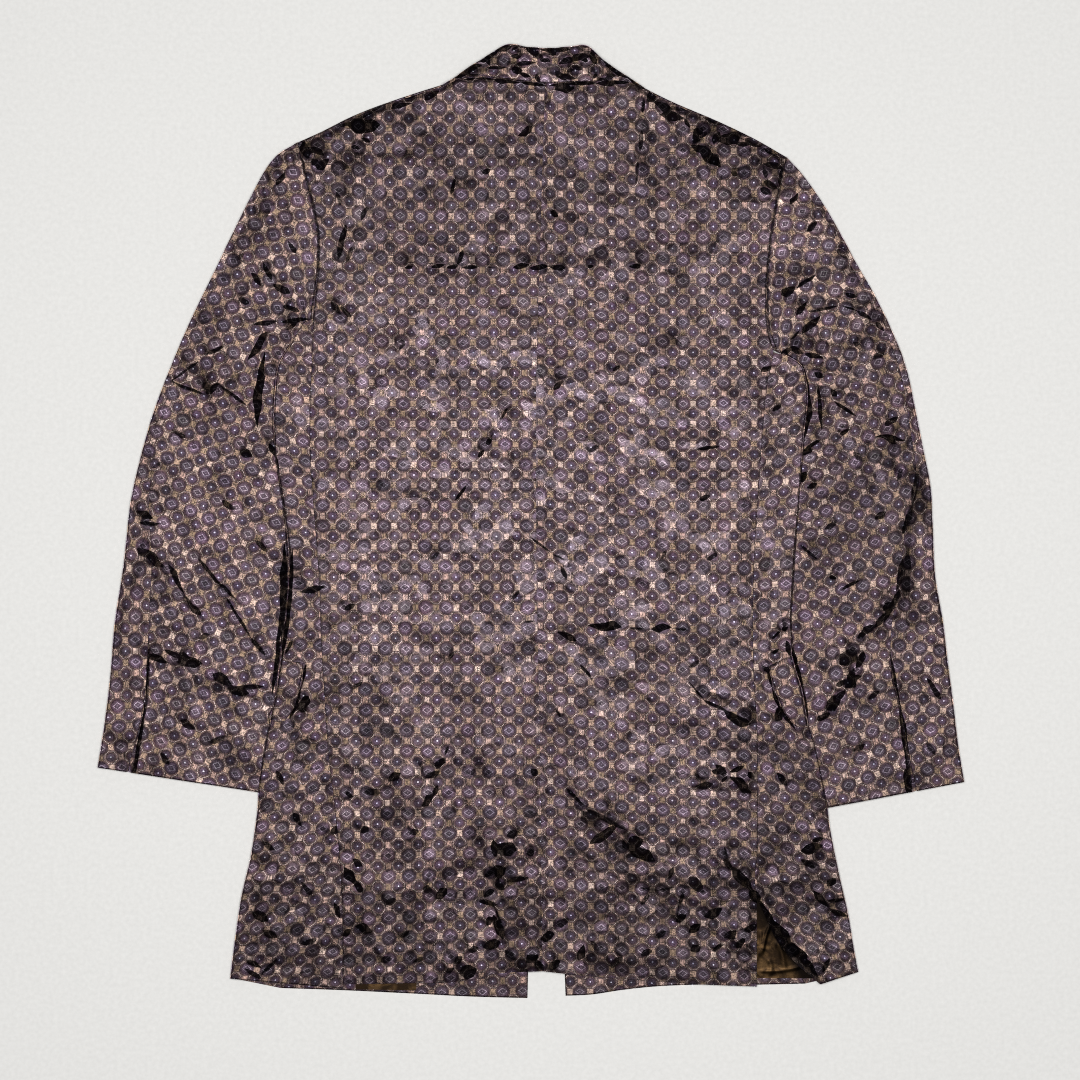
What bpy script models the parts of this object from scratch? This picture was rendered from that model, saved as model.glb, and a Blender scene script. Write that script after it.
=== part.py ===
"""A long blazer lying on its fronts, back up: each cut piece of cloth is a wall of its own.

Millimetres in the tables, metres in the mesh. +Y runs to the collar, +Z up, left is the wearer's left.
"""

from collections import namedtuple

import bmesh
import bpy
import numpy as np

# ---------------------------------------------------------------- driving sizes, mm
CLOTH = 1.4            # wall of the outer cloth with its backing
TRIM = 1.1             # wall of the lapels and pocket flaps
LINING = 1.0           # wall of the lining
SEAM_GAP = 0.3         # between two pieces at a seam
LIE_GAP = 0.3          # between a panel and what lies on it
BODY_HEIGHT = 6.4      # top of the back above the floor
SHOULDER_EDGE = 3.5    # height of the shoulder seam above the floor
BODY_STEPS = 12        # sections of the body from underarm to hem
ARM_STEPS = 7          # sections that the armhole is divided into, shared by the pieces that meet there
FOREARM_SEAM = 1 / ARM_STEPS  # forearm seam on the lower layer, as a share of the sleeve's width
COLLAR_ROLL = 4.6      # rise of the collar's fall above its stand at the roll
STAND_DEPTH = 25.0     # collar roll to neck seam
VENT_TOP = -338.0      # level where the side vents open
LIFT = TRIM + LIE_GAP  # how far a front is raised where a lapel or flap lies under it

Edge = namedtuple("Edge", "x y")
Side = namedtuple("Side", "seam_x seam_y fold_x fold_y front_x")
Sleeve = namedtuple("Sleeve", "outer_x outer_y inner_x inner_y bow seam")
Collar = namedtuple("Collar", "x fold_y edge_y")
Lapel = namedtuple("Lapel", "roll_x roll_y edge_x edge_y")
Flap = namedtuple("Flap", "rear_x rear_y fold_y front_x")
Mound = namedtuple("Mound", "x y half_width half_length rise")
Fold = namedtuple("Fold", "x0 y0 x1 y1 half_width rise")

# ---------------------------------------------------------------- seams and edges, from the top down
SHOULDER = {
    "left": [Edge(-210, 342), Edge(-190, 351), Edge(-162, 365), Edge(-106, 387), Edge(-77, 398)],
    "right": [Edge(229, 329), Edge(203, 344), Edge(170, 360), Edge(123, 381), Edge(100, 392)],
}
NECK = {
    "left": [Edge(-77, 398), Edge(-37, 399), Edge(13, 400)],
    "right": [Edge(100, 392), Edge(62, 398), Edge(13, 400)],
}
ARMHOLE = {
    "left": [Edge(-210, 342), Edge(-205, 321), Edge(-198, 292), Edge(-192, 263), Edge(-191, 243),
             Edge(-193, 216), Edge(-196, 184)],
    "right": [Edge(229, 329), Edge(224, 303), Edge(218, 272), Edge(213.5, 236), Edge(211.5, 200),
              Edge(213, 173), Edge(218, 155)],
}
CENTRE_SEAM = [Edge(13, 400), Edge(10.5, 335), Edge(8, 245), Edge(5, 155), Edge(4.5, 65),
               Edge(5, -70), Edge(7, -160), Edge(9, -295), Edge(10, -404)]
HEM_BACK = {
    "left": [Edge(-169.5, -416), Edge(-118, -415), Edge(-55, -412), Edge(-35, -407), Edge(10, -404)],
    "right": [Edge(203, -418), Edge(152, -416), Edge(98, -412), Edge(44, -408), Edge(10, -404)],
}
FRONT_EDGE = {
    "left": [Edge(-74, 390), Edge(-55, 353), Edge(-37, 272), Edge(-19, 164), Edge(-1, 38),
             Edge(5, -34), Edge(3, -160), Edge(0, -295), Edge(-3.5, -429)],
    "right": [Edge(97, 385), Edge(75, 344), Edge(58, 272), Edge(42, 164), Edge(26, 38),
              Edge(19, -34), Edge(22, -160), Edge(26, -295), Edge(31, -427)],
}
HEM_FRONT = {
    "left": [Edge(-226, -420), Edge(-169, -422), Edge(-107, -425), Edge(-46, -428), Edge(-3.5, -429)],
    "right": [Edge(247, -416), Edge(203, -417), Edge(152, -417), Edge(107, -419), Edge(80, -422),
              Edge(53, -426), Edge(31, -427)],
}
# side panels: the side seam, the fold they turn round and the front seam on the lower layer
SIDE = {
    "left": [
        Side(-196.5, 180, -204, 178, -181), Side(-197, 159, -216, 159, -174),
        Side(-197.5, 144, -225, 144, -168), Side(-199, 110, -229, 110, -161),
        Side(-199, 60, -228, 60, -158), Side(-197, 29, -222.5, 29, -156),
        Side(-191, -52, -213, -52, -154), Side(-189, -106, -222, -106, -161),
        Side(-187, -142, -226.5, -142, -168), Side(-184, -187, -235.5, -187, -177),
        Side(-181, -223, -242, -223, -185), Side(-176.5, -259, -246, -259, -192),
        Side(-173, -295, -251, -295, -201), Side(-170, -340, -261, -340, -212),
        Side(-169.5, -381, -267, -381, -221), Side(-169.5, -420, -270.5, -411, -226),
    ],
    "right": [
        Side(218, 150, 226, 150, 204), Side(216, 143, 239, 143, 199), Side(213, 128, 246, 128, 192),
        Side(208.5, 83, 244, 83, 186), Side(204, 20, 239.5, 20, 181), Side(200.5, -34, 235, -34, 179),
        Side(199.5, -88, 232, -88, 181), Side(200, -124, 234, -124, 184), Side(201, -151, 242, -151, 188),
        Side(203, -178, 247, -178, 192), Side(203.5, -214, 257, -214, 199), Side(203.5, -257, 265, -257, 204),
        Side(203.5, -291, 271.5, -291, 209), Side(203.5, -338, 281.5, -338, 219),
        Side(210.5, -354, 285, -354, 222), Side(224, -381, 289.5, -381, 228),
        Side(236, -395, 291.5, -393, 235), Side(260, -416, 294, -405, 247),
    ],
}
# sleeves: one row a section, from the armhole to the cuff; seam is the hind seam's share of the width
SLEEVE = {
    "left": [
        Sleeve(-211, 342, -200, 185, 11, 0.06), Sleeve(-233, 325, -208.5, 177.5, 8, 0.06),
        Sleeve(-253, 292, -215, 164.5, 4, 0.06), Sleeve(-279, 238, -226.5, 147, 1, 0.06),
        Sleeve(-306, 182, -232, 123, 0, 0.06), Sleeve(-329, 128, -234, 92, 0, 0.06),
        Sleeve(-347, 74, -232, 58, 0, 0.08), Sleeve(-360, 20, -226, 11, 0, 0.12),
        Sleeve(-366, -34, -223, -41, 0, 0.17), Sleeve(-374, -88, -225, -95, 0, 0.20),
        Sleeve(-379, -142, -232, -151, 0, 0.22), Sleeve(-384, -183, -239, -194, 0, 0.21),
        Sleeve(-390, -221, -247, -243, 0, 0.18),
    ],
    "right": [
        Sleeve(230, 328, 221, 156, -10, 0.06), Sleeve(246, 310, 228, 153.5, -6, 0.06),
        Sleeve(267, 279, 238, 147.5, -3, 0.06), Sleeve(289, 239, 245.5, 139, -1, 0.06),
        Sleeve(311, 200, 249, 126, 0, 0.06), Sleeve(335, 146, 250, 103, 0, 0.06),
        Sleeve(347, 92, 246, 69, 0, 0.07), Sleeve(358, 38, 242.5, 24, 0, 0.10),
        Sleeve(361, -3, 239.5, -16, 0, 0.20), Sleeve(363, -48, 237.5, -57, 0, 0.25),
        Sleeve(370, -88, 236, -99, 0, 0.34), Sleeve(375, -129, 243, -138, 0, 0.385),
        Sleeve(379, -160, 251, -169, 0, 0.37), Sleeve(384, -201, 258, -212, 0, 0.355),
        Sleeve(389.5, -234, 268, -257, 0, 0.35),
    ],
}
# collar, from the wearer's left to the right: its roll and the edge of its fall
COLLAR = [
    Collar(-68.5, 403, 397), Collar(-55, 409.5, 400), Collar(-37, 420, 400), Collar(-23.5, 428, 399),
    Collar(-1, 426, 396), Collar(17, 425, 395), Collar(35, 426.5, 396), Collar(51, 427, 397),
    Collar(62, 417.5, 397), Collar(75.5, 408.5, 397), Collar(90, 400, 394),
]
LAPEL = {
    "left": [Lapel(-79, 378, -94, 372), Lapel(-62, 350, -108, 336), Lapel(-54, 326, -128, 302),
             Lapel(-41, 274, -115, 240), Lapel(-26, 191, -84, 166), Lapel(-12, 87, -44, 75),
             Lapel(-2, 2, -6, -1)],
    "right": [Lapel(101, 373, 117, 366), Lapel(83, 344, 130, 329), Lapel(75, 320, 150, 295),
              Lapel(62, 270, 137, 234), Lapel(49, 186, 107, 160), Lapel(35, 85, 67, 72),
              Lapel(26, 0, 30, -3)],
}
# pocket flaps: the rear end that lies on the side panel, and the end under the front
FLAP = {
    "left": [Flap(-205, -127, -125, -100), Flap(-206, -136, -135, -100), Flap(-208.5, -148, -148, -100),
             Flap(-211.5, -160, -159, -102), Flap(-216, -171, -170, -105), Flap(-222, -179, -178, -113)],
    "right": [Flap(214.5, -129, -121.5, 107), Flap(216, -139, -132, 107), Flap(220, -151, -146, 107),
              Flap(225, -165, -160, 110), Flap(231, -175.5, -173, 113), Flap(239, -185, -183.5, 121)],
}
# lining where it shows, as corners round each patch
LINING_PATCH = {
    "right": [Edge(196, -320), Edge(238, -330), Edge(262, -411), Edge(190, -411)],
    "left": [Edge(-160, -395), Edge(-100, -395), Edge(-104, -422), Edge(-158, -421)],
}
# soft rises of the upper layer: shoulders, underarms, sleeves
MOUNDS = [
    Mound(-195, 300, 45, 60, 2.4), Mound(213, 290, 45, 60, 2.4),
    Mound(-215, 195, 40, 40, 1.2), Mound(222, 170, 40, 40, 1.2),
    Mound(-275, 160, 45, 80, 1.2), Mound(300, 120, 45, 80, 1.2),
    Mound(-300, -40, 60, 90, 0.9), Mound(305, -60, 60, 90, 0.9),
    Mound(13, 380, 90, 35, 1.0), Mound(-215, -330, 45, 60, 0.8), Mound(255, -300, 40, 60, 0.8),
]
# the largest folds of the upper layer
FOLDS = [
    Fold(170, -293, 200, -334, 14, 2.0), Fold(48, -101, 143, -101, 18, 1.6),
    Fold(-113, 222, 98, 222, 20, 1.2), Fold(-28, -277, 4, -394, 20, 1.8),
    Fold(143, -165, 198, -192, 20, 1.6), Fold(62, -250, 111, -302, 20, 1.6),
    Fold(-226, -295, -253, -367, 22, 1.4), Fold(335, 30, 322, -70, 18, 1.8),
    Fold(-330, -25, -235, -140, 22, 1.6),
]

SIGN = {"left": 1.0, "right": -1.0}  # plan direction from the fold to the middle


# ---------------------------------------------------------------- shape functions
def smooth(knots, values, at):
    """Cubic curve through a table's column, with flat-ended slopes taken from the neighbours."""
    knots, values, at = (np.asarray(a, float) for a in (knots, values, at))
    slopes = np.gradient(values, knots)
    i = np.clip(np.searchsorted(knots, at, side="right") - 1, 0, len(knots) - 2)
    step = knots[i + 1] - knots[i]
    t = np.clip((at - knots[i]) / step, 0, 1)
    return ((2 * t**3 - 3 * t**2 + 1) * values[i] + (t**3 - 2 * t**2 + t) * step * slopes[i]
            + (3 * t**2 - 2 * t**3) * values[i + 1] + (t**3 - t**2) * step * slopes[i + 1])


def run(edge, at):
    """Points (n, 2) along an edge table at shares of its length."""
    pts = np.array(edge, float)
    length = np.concatenate([[0], np.cumsum(np.hypot(*np.diff(pts, axis=0).T))])
    return np.stack([smooth(length / length[-1], pts[:, k], at) for k in (0, 1)], axis=-1)


def joined(first, second, at):
    """Two edges end to end; the corner between them stays sharp."""
    size = [np.hypot(*np.diff(np.array(e, float), axis=0).T).sum() for e in (first, second)]
    share = size[0] / sum(size)
    at = np.asarray(at, float)
    return np.where((at <= share)[:, None], run(first, np.clip(at / share, 0, 1)),
                    run(second, np.clip((at - share) / (1 - share), 0, 1)))


def patch(u, v, top, bottom, outer, inner):
    """Plan points (rows, columns, 2) blended between four edges that share their corners."""
    u = u[None, :, None]
    v = v[:, None, None]
    across = (1 - v) * top[None] + v * bottom[None]
    down = (1 - u) * outer[:, None] + u * inner[:, None]
    corner = ((1 - u) * (1 - v) * top[0] + u * (1 - v) * top[-1]
              + (1 - u) * v * bottom[0] + u * v * bottom[-1])
    return across + down - corner


def ease(t):
    t = np.clip(t, 0, 1)
    return t * t * (3 - 2 * t)


def top_height(xy):
    """Upper face of the cloth above the floor: a low lay with soft rises and the largest folds."""
    x, y = xy[..., 0], xy[..., 1]
    z = np.full(x.shape, BODY_HEIGHT)
    for m in MOUNDS:
        z = z + m.rise * np.exp(-((x - m.x) / m.half_width) ** 2 - ((y - m.y) / m.half_length) ** 2)
    for f in FOLDS:
        dx, dy = f.x1 - f.x0, f.y1 - f.y0
        t = np.clip(((x - f.x0) * dx + (y - f.y0) * dy) / (dx * dx + dy * dy), 0, 1)
        away = np.hypot(x - f.x0 - t * dx, y - f.y0 - t * dy)
        z = z + f.rise * np.exp(-((away / f.half_width) ** 2))
    return z


def column(rows, name):
    return np.array([getattr(r, name) for r in rows], float)


def lapel_lift(side, xy):
    """1 where the lapel lies under the front, easing to 0 around it."""
    rows, sign = LAPEL[side], SIGN[side]
    edge = np.interp(-xy[..., 1], -column(rows, "edge_y"), column(rows, "edge_x"))
    low = rows[-1].edge_y
    return ease((sign * (xy[..., 0] - edge) + 48) / 26) * ease((xy[..., 1] - low + 62) / 30)


def flap_lift(side, xy):
    """1 where the pocket flap lies under the front and side panel, easing to 0 around it."""
    rows, sign = FLAP[side], SIGN[side]
    end = column(rows, "front_x")
    end = end.max() if sign > 0 else end.min()
    top, low = rows[0].fold_y, rows[-1].rear_y
    return (ease((44 - sign * (xy[..., 0] - end)) / 26) * ease((top + 46 - xy[..., 1]) / 28)
            * ease((xy[..., 1] - low + 46) / 28))


def wrap(top_end, fold, low_end, low_z, steps, height, wall, out=0.0):
    """A wall turned round a fold: over the top, round, and back below.

    top_end, fold and low_end are plan points, one for each section; steps gives the shares of the
    way over the top, the number of turns and the shares of the way back; out moves the whole turn
    outwards, for a piece that lies on another.
    """
    over, n_turn, under = steps
    towards = fold - top_end
    towards = towards / np.linalg.norm(towards, axis=1, keepdims=True)
    fold_z = height(fold) - wall / 2
    radius = (fold_z - low_z) / 2
    start = fold - towards * radius[:, None]
    rows = []
    for i in range(len(fold)):
        line = []
        for t in over:
            p = top_end[i] * (1 - t) + start[i] * t
            z = height(p[None])[0] - wall / 2
            line.append((*p, z * (1 - t) + fold_z[i] * t + out))
        for a in np.linspace(0, np.pi, n_turn + 1):
            p = start[i] + towards[i] * (radius[i] + out) * np.sin(a)
            line.append((*p, low_z[i] + radius[i] + (radius[i] + out) * np.cos(a)))
        for t in under:
            p = start[i] * (1 - t) + low_end[i] * t
            line.append((*p, low_z[i] - out))
        rows.append(line)
    return np.array(rows)


# ---------------------------------------------------------------- making the walls
def material(name, color, roughness, metallic):
    mat = bpy.data.materials.new(name)
    mat.use_nodes = True
    shader = mat.node_tree.nodes["Principled BSDF"]
    shader.inputs["Base Color"].default_value = (*color, 1)
    shader.inputs["Roughness"].default_value = roughness
    shader.inputs["Metallic"].default_value = metallic
    return mat


def wall(name, points, thickness, mat, home):
    """A grid laid on the section points (rows, columns, 3), in mm, made solid with Solidify."""
    n_v, n_u = points.shape[:2]
    bm = bmesh.new()
    bmesh.ops.create_grid(bm, x_segments=n_u - 1, y_segments=n_v - 1, size=1)
    for vert in bm.verts:
        i = round((vert.co.x + 1) / 2 * (n_u - 1))
        j = round((vert.co.y + 1) / 2 * (n_v - 1))
        vert.co = points[j, i] / 1000
    mesh = bpy.data.meshes.new(name)
    bm.to_mesh(mesh)
    bm.free()
    obj = bpy.data.objects.new(name, mesh)
    home.objects.link(obj)
    obj.data.materials.append(mat)
    obj.data.shade_smooth()
    solid = obj.modifiers.new("cloth wall", "SOLIDIFY")
    solid.thickness = thickness / 1000
    solid.offset = 0
    solid.use_even_offset = True
    return obj


def trim_in(points, amount):
    """Moves each row's ends in along the row, to leave the seam gap."""
    pts = points.copy()
    for end, inside in ((0, 1), (-1, -2)):
        way = pts[:, inside] - pts[:, end]
        pts[:, end] += way / np.linalg.norm(way, axis=1, keepdims=True) * amount
    return pts


def with_height(xy, z):
    return np.concatenate([xy, np.asarray(z)[..., None]], axis=-1)


def even(low, high, count):
    return np.linspace(low, high, count)


def over_steps(count):
    return even(0, 1, count + 1)[:-1]


def under_steps(count):
    return even(0, 1, count + 1)[1:]


def levels(side):
    """Heights on the body, from underarm to hem, of the sections that back, side and front share."""
    top, low = SIDE[side][0].seam_y, SIDE[side][-1].seam_y
    flap = [f.fold_y for f in FLAP[side][::2]] + [FLAP[side][-1].fold_y]
    spread = [y for y in even(top, low, BODY_STEPS + 1) if min(abs(y - f) for f in flap) > 14]
    vent = [VENT_TOP, *column(SIDE[side][-4:-1], "seam_y")] if side == "right" else []
    spread = [y for y in spread if not vent or y in (top, low) or min(abs(y - f) for f in vent) > 10]
    return np.array(sorted({*spread, *flap, *vent}, reverse=True))


def side_line(side, name, at):
    """A column of the side table at these levels of the side seam."""
    return smooth(-column(SIDE[side], "seam_y"), column(SIDE[side], name), -np.asarray(at, float))


def down_edge(side, line, hem):
    """Points down an armhole and on down a seam to the hem, and each one's share of the way."""
    arm = even(0, 1, ARM_STEPS + 1)
    arm = run(ARMHOLE[side], np.concatenate([[0, arm[1] * 0.28], arm[1:]]))
    at = levels(side)[:-1]
    seam = np.stack([line(at), at], -1)
    pts = np.concatenate([arm, seam, np.array([hem], float)])
    return pts, (pts[0, 1] - pts[:, 1]) / (pts[0, 1] - pts[-1, 1])


def back(side, columns=11):
    """Half the back, from the centre seam to the armhole and side seam."""
    u = even(0, 1, columns)

    def seam(at):
        x = side_line(side, "seam_x", at)
        straight = HEM_BACK[side][0].x
        return np.where(at < VENT_TOP, straight, x) if side == "right" else x

    outer, v = down_edge(side, seam, HEM_BACK[side][0])
    xy = patch(u, v, joined(SHOULDER[side], NECK[side], u), run(HEM_BACK[side], u), outer, run(CENTRE_SEAM, v))
    z = top_height(xy) - CLOTH / 2
    # the shoulder edge turns down to its seam with the front
    drop = ease((abs(xy[0, :, 0] - 13) - 70) / 30)
    z[0] = z[0] * (1 - drop) + (SHOULDER_EDGE + CLOTH / 2 + SEAM_GAP / 2) * drop
    return trim_in(with_height(xy, z), SEAM_GAP)


def front(side, columns=8):
    """A front, from its shoulder to its hem, with its lower face on the floor."""
    u = even(0, 1, columns)
    outer, v = down_edge(side, lambda at: side_line(side, "front_x", at), HEM_FRONT[side][0])
    top = run([*SHOULDER[side], FRONT_EDGE[side][0]], u)
    xy = patch(u, v, top, run(HEM_FRONT[side], u), outer, run(FRONT_EDGE[side], v))
    lift = LIFT * np.maximum(lapel_lift(side, xy), flap_lift(side, xy))
    z = CLOTH / 2 + lift
    z[0] = np.maximum(z[0], SHOULDER_EDGE - CLOTH / 2 - SEAM_GAP / 2)
    return trim_in(with_height(xy, z), SEAM_GAP)


SIDE_OVER, SIDE_TURN, SIDE_UNDER = 4, 5, 2  # steps of a side panel over, round and under its fold


def side_section(side, at):
    """Side panel points at these levels: from the side seam, round the fold, to the front seam."""
    fold_y = side_line(side, "fold_y", at)
    seam = np.stack([side_line(side, "seam_x", at), at], -1)
    fold = np.stack([side_line(side, "fold_x", at), fold_y], -1)
    low = np.stack([side_line(side, "front_x", at), at], -1)
    way = np.array([SIGN[side], 0]) * SEAM_GAP
    lift = LIFT * flap_lift(side, fold)
    pts = wrap(seam - way, fold, low - way, CLOTH / 2 + lift,
               (over_steps(SIDE_OVER), SIDE_TURN, under_steps(SIDE_UNDER)), top_height, CLOTH)
    under = SIDE_OVER + SIDE_TURN + 1
    pts[:, under:, 2] = CLOTH / 2 + LIFT * flap_lift(side, pts[:, under:, :2])
    return pts


def side_panel(side):
    return side_section(side, levels(side))


def sleeve_rows(side, rows):
    table = SLEEVE[side]
    knots = np.linspace(0, 1, len(table))
    at = even(0, 1, rows)
    get = lambda name: smooth(knots, column(table, name), at)
    outer = np.stack([get("outer_x"), get("outer_y")], -1)
    inner = np.stack([get("inner_x"), get("inner_y")], -1)
    return outer, inner, get("bow"), get("seam")


def bowed(side, pts, outer, inner, bow):
    """Curves the first sections of a sleeve to follow the armhole; the first one lies along it."""
    chord = inner - outer
    size = np.linalg.norm(chord, axis=1)
    share = np.einsum("ijk,ik->ij", pts[..., :2] - outer[:, None], chord) / size[:, None] ** 2
    share = np.clip(share, 0, 1)
    normal = np.stack([-chord[:, 1], chord[:, 0]], -1) / size[:, None]
    normal = normal * np.sign(normal[:, :1] + 1e-9)
    pts = pts.copy()
    pts[..., :2] += normal[:, None] * (bow[:, None] * 4 * share * (1 - share))[..., None]
    pts[0, :, :2] = run(ARMHOLE[side], share[0]) - np.array([SIGN[side] * SEAM_GAP, 0])
    return pts


def sleeve(side, piece, rows=15):
    """Upper or under sleeve: each is turned round one of the two folds of the flat sleeve."""
    outer, inner, bow, seam = sleeve_rows(side, rows)
    hind = outer + (inner - outer) * seam[:, None]
    fore = inner + (outer - inner) * FOREARM_SEAM
    along = (inner - outer) / np.linalg.norm(inner - outer, axis=1, keepdims=True)
    low_z = np.full(rows, CLOTH / 2)
    gap = along * SEAM_GAP / 2
    arm = even(0, 1, ARM_STEPS + 1)
    if piece == "upper":
        steps = (over_steps(2), 5, arm[1:-1] / arm[-2])
        pts = wrap(hind - gap, outer, fore - gap, low_z, steps, top_height, CLOTH)
    else:
        steps = (np.append(0, (arm[1:-1] - seam[0]) / (1 - seam[0])), 5, under_steps(1))
        pts = wrap(hind + gap, inner, fore + gap, low_z, steps, top_height, CLOTH)
    return bowed(side, pts, outer, inner, bow)


def collar(rows=12):
    """Fall, roll and stand of the collar at the back neck."""
    knots = column(COLLAR, "x")
    x = even(knots[0], knots[-1], rows)
    fold_y, edge_y = (smooth(knots, column(COLLAR, n), x) for n in ("fold_y", "edge_y"))
    fold = np.stack([x, fold_y], -1)
    edge = np.stack([x, edge_y], -1)
    tall = np.clip((fold_y - edge_y) / STAND_DEPTH, 0.22, 1)
    neck = np.stack([x, np.maximum(fold_y - STAND_DEPTH, 401.2 - 0.055 * np.maximum(x - 13, 0))], -1)
    neck[:, 1] = np.minimum(neck[:, 1], fold_y - 1.5)
    stand_z = np.full(rows, BODY_HEIGHT + 0.9)
    lying = lambda p: np.full(len(p), 0.0) + BODY_HEIGHT + 1.6 + CLOTH + COLLAR_ROLL * 0.55
    pts = wrap(edge, fold, neck, stand_z, (over_steps(3), 5, under_steps(2)), lying, CLOTH)
    return pts


def lapel(side, rows=10, columns=4):
    table = LAPEL[side]
    knots = np.linspace(0, 1, len(table))
    at = even(0, 1, rows)
    get = lambda name: smooth(knots, column(table, name), at)
    roll = np.stack([get("roll_x"), get("roll_y")], -1)
    edge = np.stack([get("edge_x"), get("edge_y")], -1)
    u = even(0, 1, columns)[None, :, None]
    xy = edge[:, None] * (1 - u) + roll[:, None] * u
    return with_height(xy, np.full(xy.shape[:2], TRIM / 2))


def pocket_flap(side, over=2, under=4):
    """A flap on the side panel's own points, moved out by the gap and half of both walls."""
    table = FLAP[side]
    at = np.array([y for y in levels(side) if table[-1].fold_y <= y <= table[0].fold_y])
    get = lambda name: smooth(-column(table, "fold_y"), column(table, name), -at)
    rear_x, rear_y, front_x = get("rear_x"), get("rear_y"), get("front_x")
    out = CLOTH / 2 + LIE_GAP + TRIM / 2
    rows = []
    for i, section in enumerate(side_section(side, at)):
        turn = section[SIDE_OVER:SIDE_OVER + SIDE_TURN + 1]
        top = section[:SIDE_OVER + 1]
        order = np.argsort(top[:, 0])
        line = []
        for t in over_steps(over):
            x = rear_x[i] * (1 - t) + turn[0, 0] * t
            y = rear_y[i] * (1 - t) + turn[0, 1] * t
            line.append((x, y, np.interp(x, top[order, 0], top[order, 2]) + out))
        middle = (turn[0] + turn[-1]) / 2
        radius = np.linalg.norm(turn[0] - turn[-1]) / 2
        line += [tuple(middle + (p - middle) * (1 + out / radius)) for p in turn]
        for t in under_steps(under):
            line.append((turn[-1, 0] * (1 - t) + front_x[i] * t, turn[-1, 1], turn[-1, 2] - out))
        rows.append(line)
    return np.array(rows)


def lining(side, rows=5, columns=5):
    a, b, c, d = (np.array(e, float) for e in LINING_PATCH[side])
    u = even(0, 1, columns)[None, :, None]
    v = even(0, 1, rows)[:, None, None]
    xy = (a * (1 - u) + b * u) * (1 - v) + (d * (1 - u) + c * u) * v
    return with_height(xy, np.full(xy.shape[:2], CLOTH + LIE_GAP + LINING / 2))


def centre_on_floor(objects):
    """Puts the middle of the whole outline over the origin, with the underside on the floor."""
    bpy.context.view_layer.update()
    graph = bpy.context.evaluated_depsgraph_get()
    corners = np.array([c for o in objects for c in bounds_of(o, graph)])
    low, high = corners.min(0), corners.max(0)
    shift = -np.array([(low[0] + high[0]) / 2, (low[1] + high[1]) / 2, low[2]])
    for obj in objects:
        for vert in obj.data.vertices:
            vert.co = np.array(vert.co) + shift
    return shift


def bounds_of(obj, graph):
    mesh = obj.evaluated_get(graph).data
    pts = np.empty(len(mesh.vertices) * 3, np.float32)
    mesh.vertices.foreach_get("co", pts)
    pts = pts.reshape(-1, 3)
    return pts.min(0), pts.max(0)


def main():
    for obj in list(bpy.data.objects):
        bpy.data.objects.remove(obj, do_unlink=True)
    home = bpy.data.collections.new("blazer")
    bpy.context.scene.collection.children.link(home)
    satin = (0.17, 0.13, 0.14)
    brown = (0.075, 0.048, 0.028)
    made = []

    def add(name, points, thickness, color=satin, roughness=0.42, metallic=0.35):
        mat = material(name + "_cloth", color, roughness, metallic)
        made.append(wall(name, points, thickness, mat, home))

    for side in ("left", "right"):
        add(f"back_{side}", back(side), CLOTH)
        add(f"side_{side}", side_panel(side), CLOTH)
        add(f"front_{side}", front(side), CLOTH)
        add(f"sleeve_upper_{side}", sleeve(side, "upper"), CLOTH)
        add(f"sleeve_under_{side}", sleeve(side, "under"), CLOTH)
        add(f"lapel_{side}", lapel(side), TRIM)
        add(f"pocket_flap_{side}", pocket_flap(side), TRIM)
        add(f"lining_{side}", lining(side), LINING, brown, 0.35, 0.2)
    add("collar", collar(), CLOTH)
    print("moved by (m)", centre_on_floor(made).round(6).tolist())


main()
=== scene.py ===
"""A long satin blazer laid flat with its back up, seen straight from above.

Tables are in millimetres in the plan of the part's frame; the meshes are in metres.
"""

from collections import namedtuple

import bpy
import numpy as np
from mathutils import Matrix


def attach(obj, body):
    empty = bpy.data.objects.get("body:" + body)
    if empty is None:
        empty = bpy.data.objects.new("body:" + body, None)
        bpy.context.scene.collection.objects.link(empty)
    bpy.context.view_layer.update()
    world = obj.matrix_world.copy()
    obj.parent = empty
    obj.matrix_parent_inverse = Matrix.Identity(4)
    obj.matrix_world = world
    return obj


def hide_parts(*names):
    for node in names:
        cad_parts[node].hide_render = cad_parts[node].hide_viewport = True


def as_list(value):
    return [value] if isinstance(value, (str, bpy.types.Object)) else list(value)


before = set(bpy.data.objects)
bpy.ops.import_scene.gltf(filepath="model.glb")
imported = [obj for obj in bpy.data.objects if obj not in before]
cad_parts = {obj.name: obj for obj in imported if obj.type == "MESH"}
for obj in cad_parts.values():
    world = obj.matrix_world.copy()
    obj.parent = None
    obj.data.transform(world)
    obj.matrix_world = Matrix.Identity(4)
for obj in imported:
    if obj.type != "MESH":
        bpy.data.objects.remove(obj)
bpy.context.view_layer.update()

# ---------------------------------------------------------------- sizes, mm
CLOTH = 1.4
TRIM = 1.1
LIE_GAP = 0.3
BODY_HEIGHT = 6.4
SHOULDER_EDGE = 3.5
COLLAR_ROLL = 4.6
STAND_DEPTH = 25.0
VENT_TOP = -338.0
LIFT = TRIM + LIE_GAP
FOREARM_SEAM = 1 / 7
ORIGIN = np.array([0.25, 0.131, 0.026])  # from the pattern tables to the part's frame

REPEAT = 18.35         # one repeat of the weave
GROOVE = 0.14          # depth of a seam
ARM_GROOVE = 0.5       # depth of the armhole seam
GROOVE_WIDTH = 0.8
EDGE_ROLL = 1.7        # thickness that a turned hem shows
RASTER = 0.8           # spacing of the drape's height map
PRESS = 1.5            # folds that lie against each other press in this far, but leave a groove here:
GROOVES = {"left": [(165, 70), (-10, -145)], "right": [(155, 55), (-110, -160)]}
TURN = 0.7             # reach of a fold's turn, which is flatter than it is tall

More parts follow.
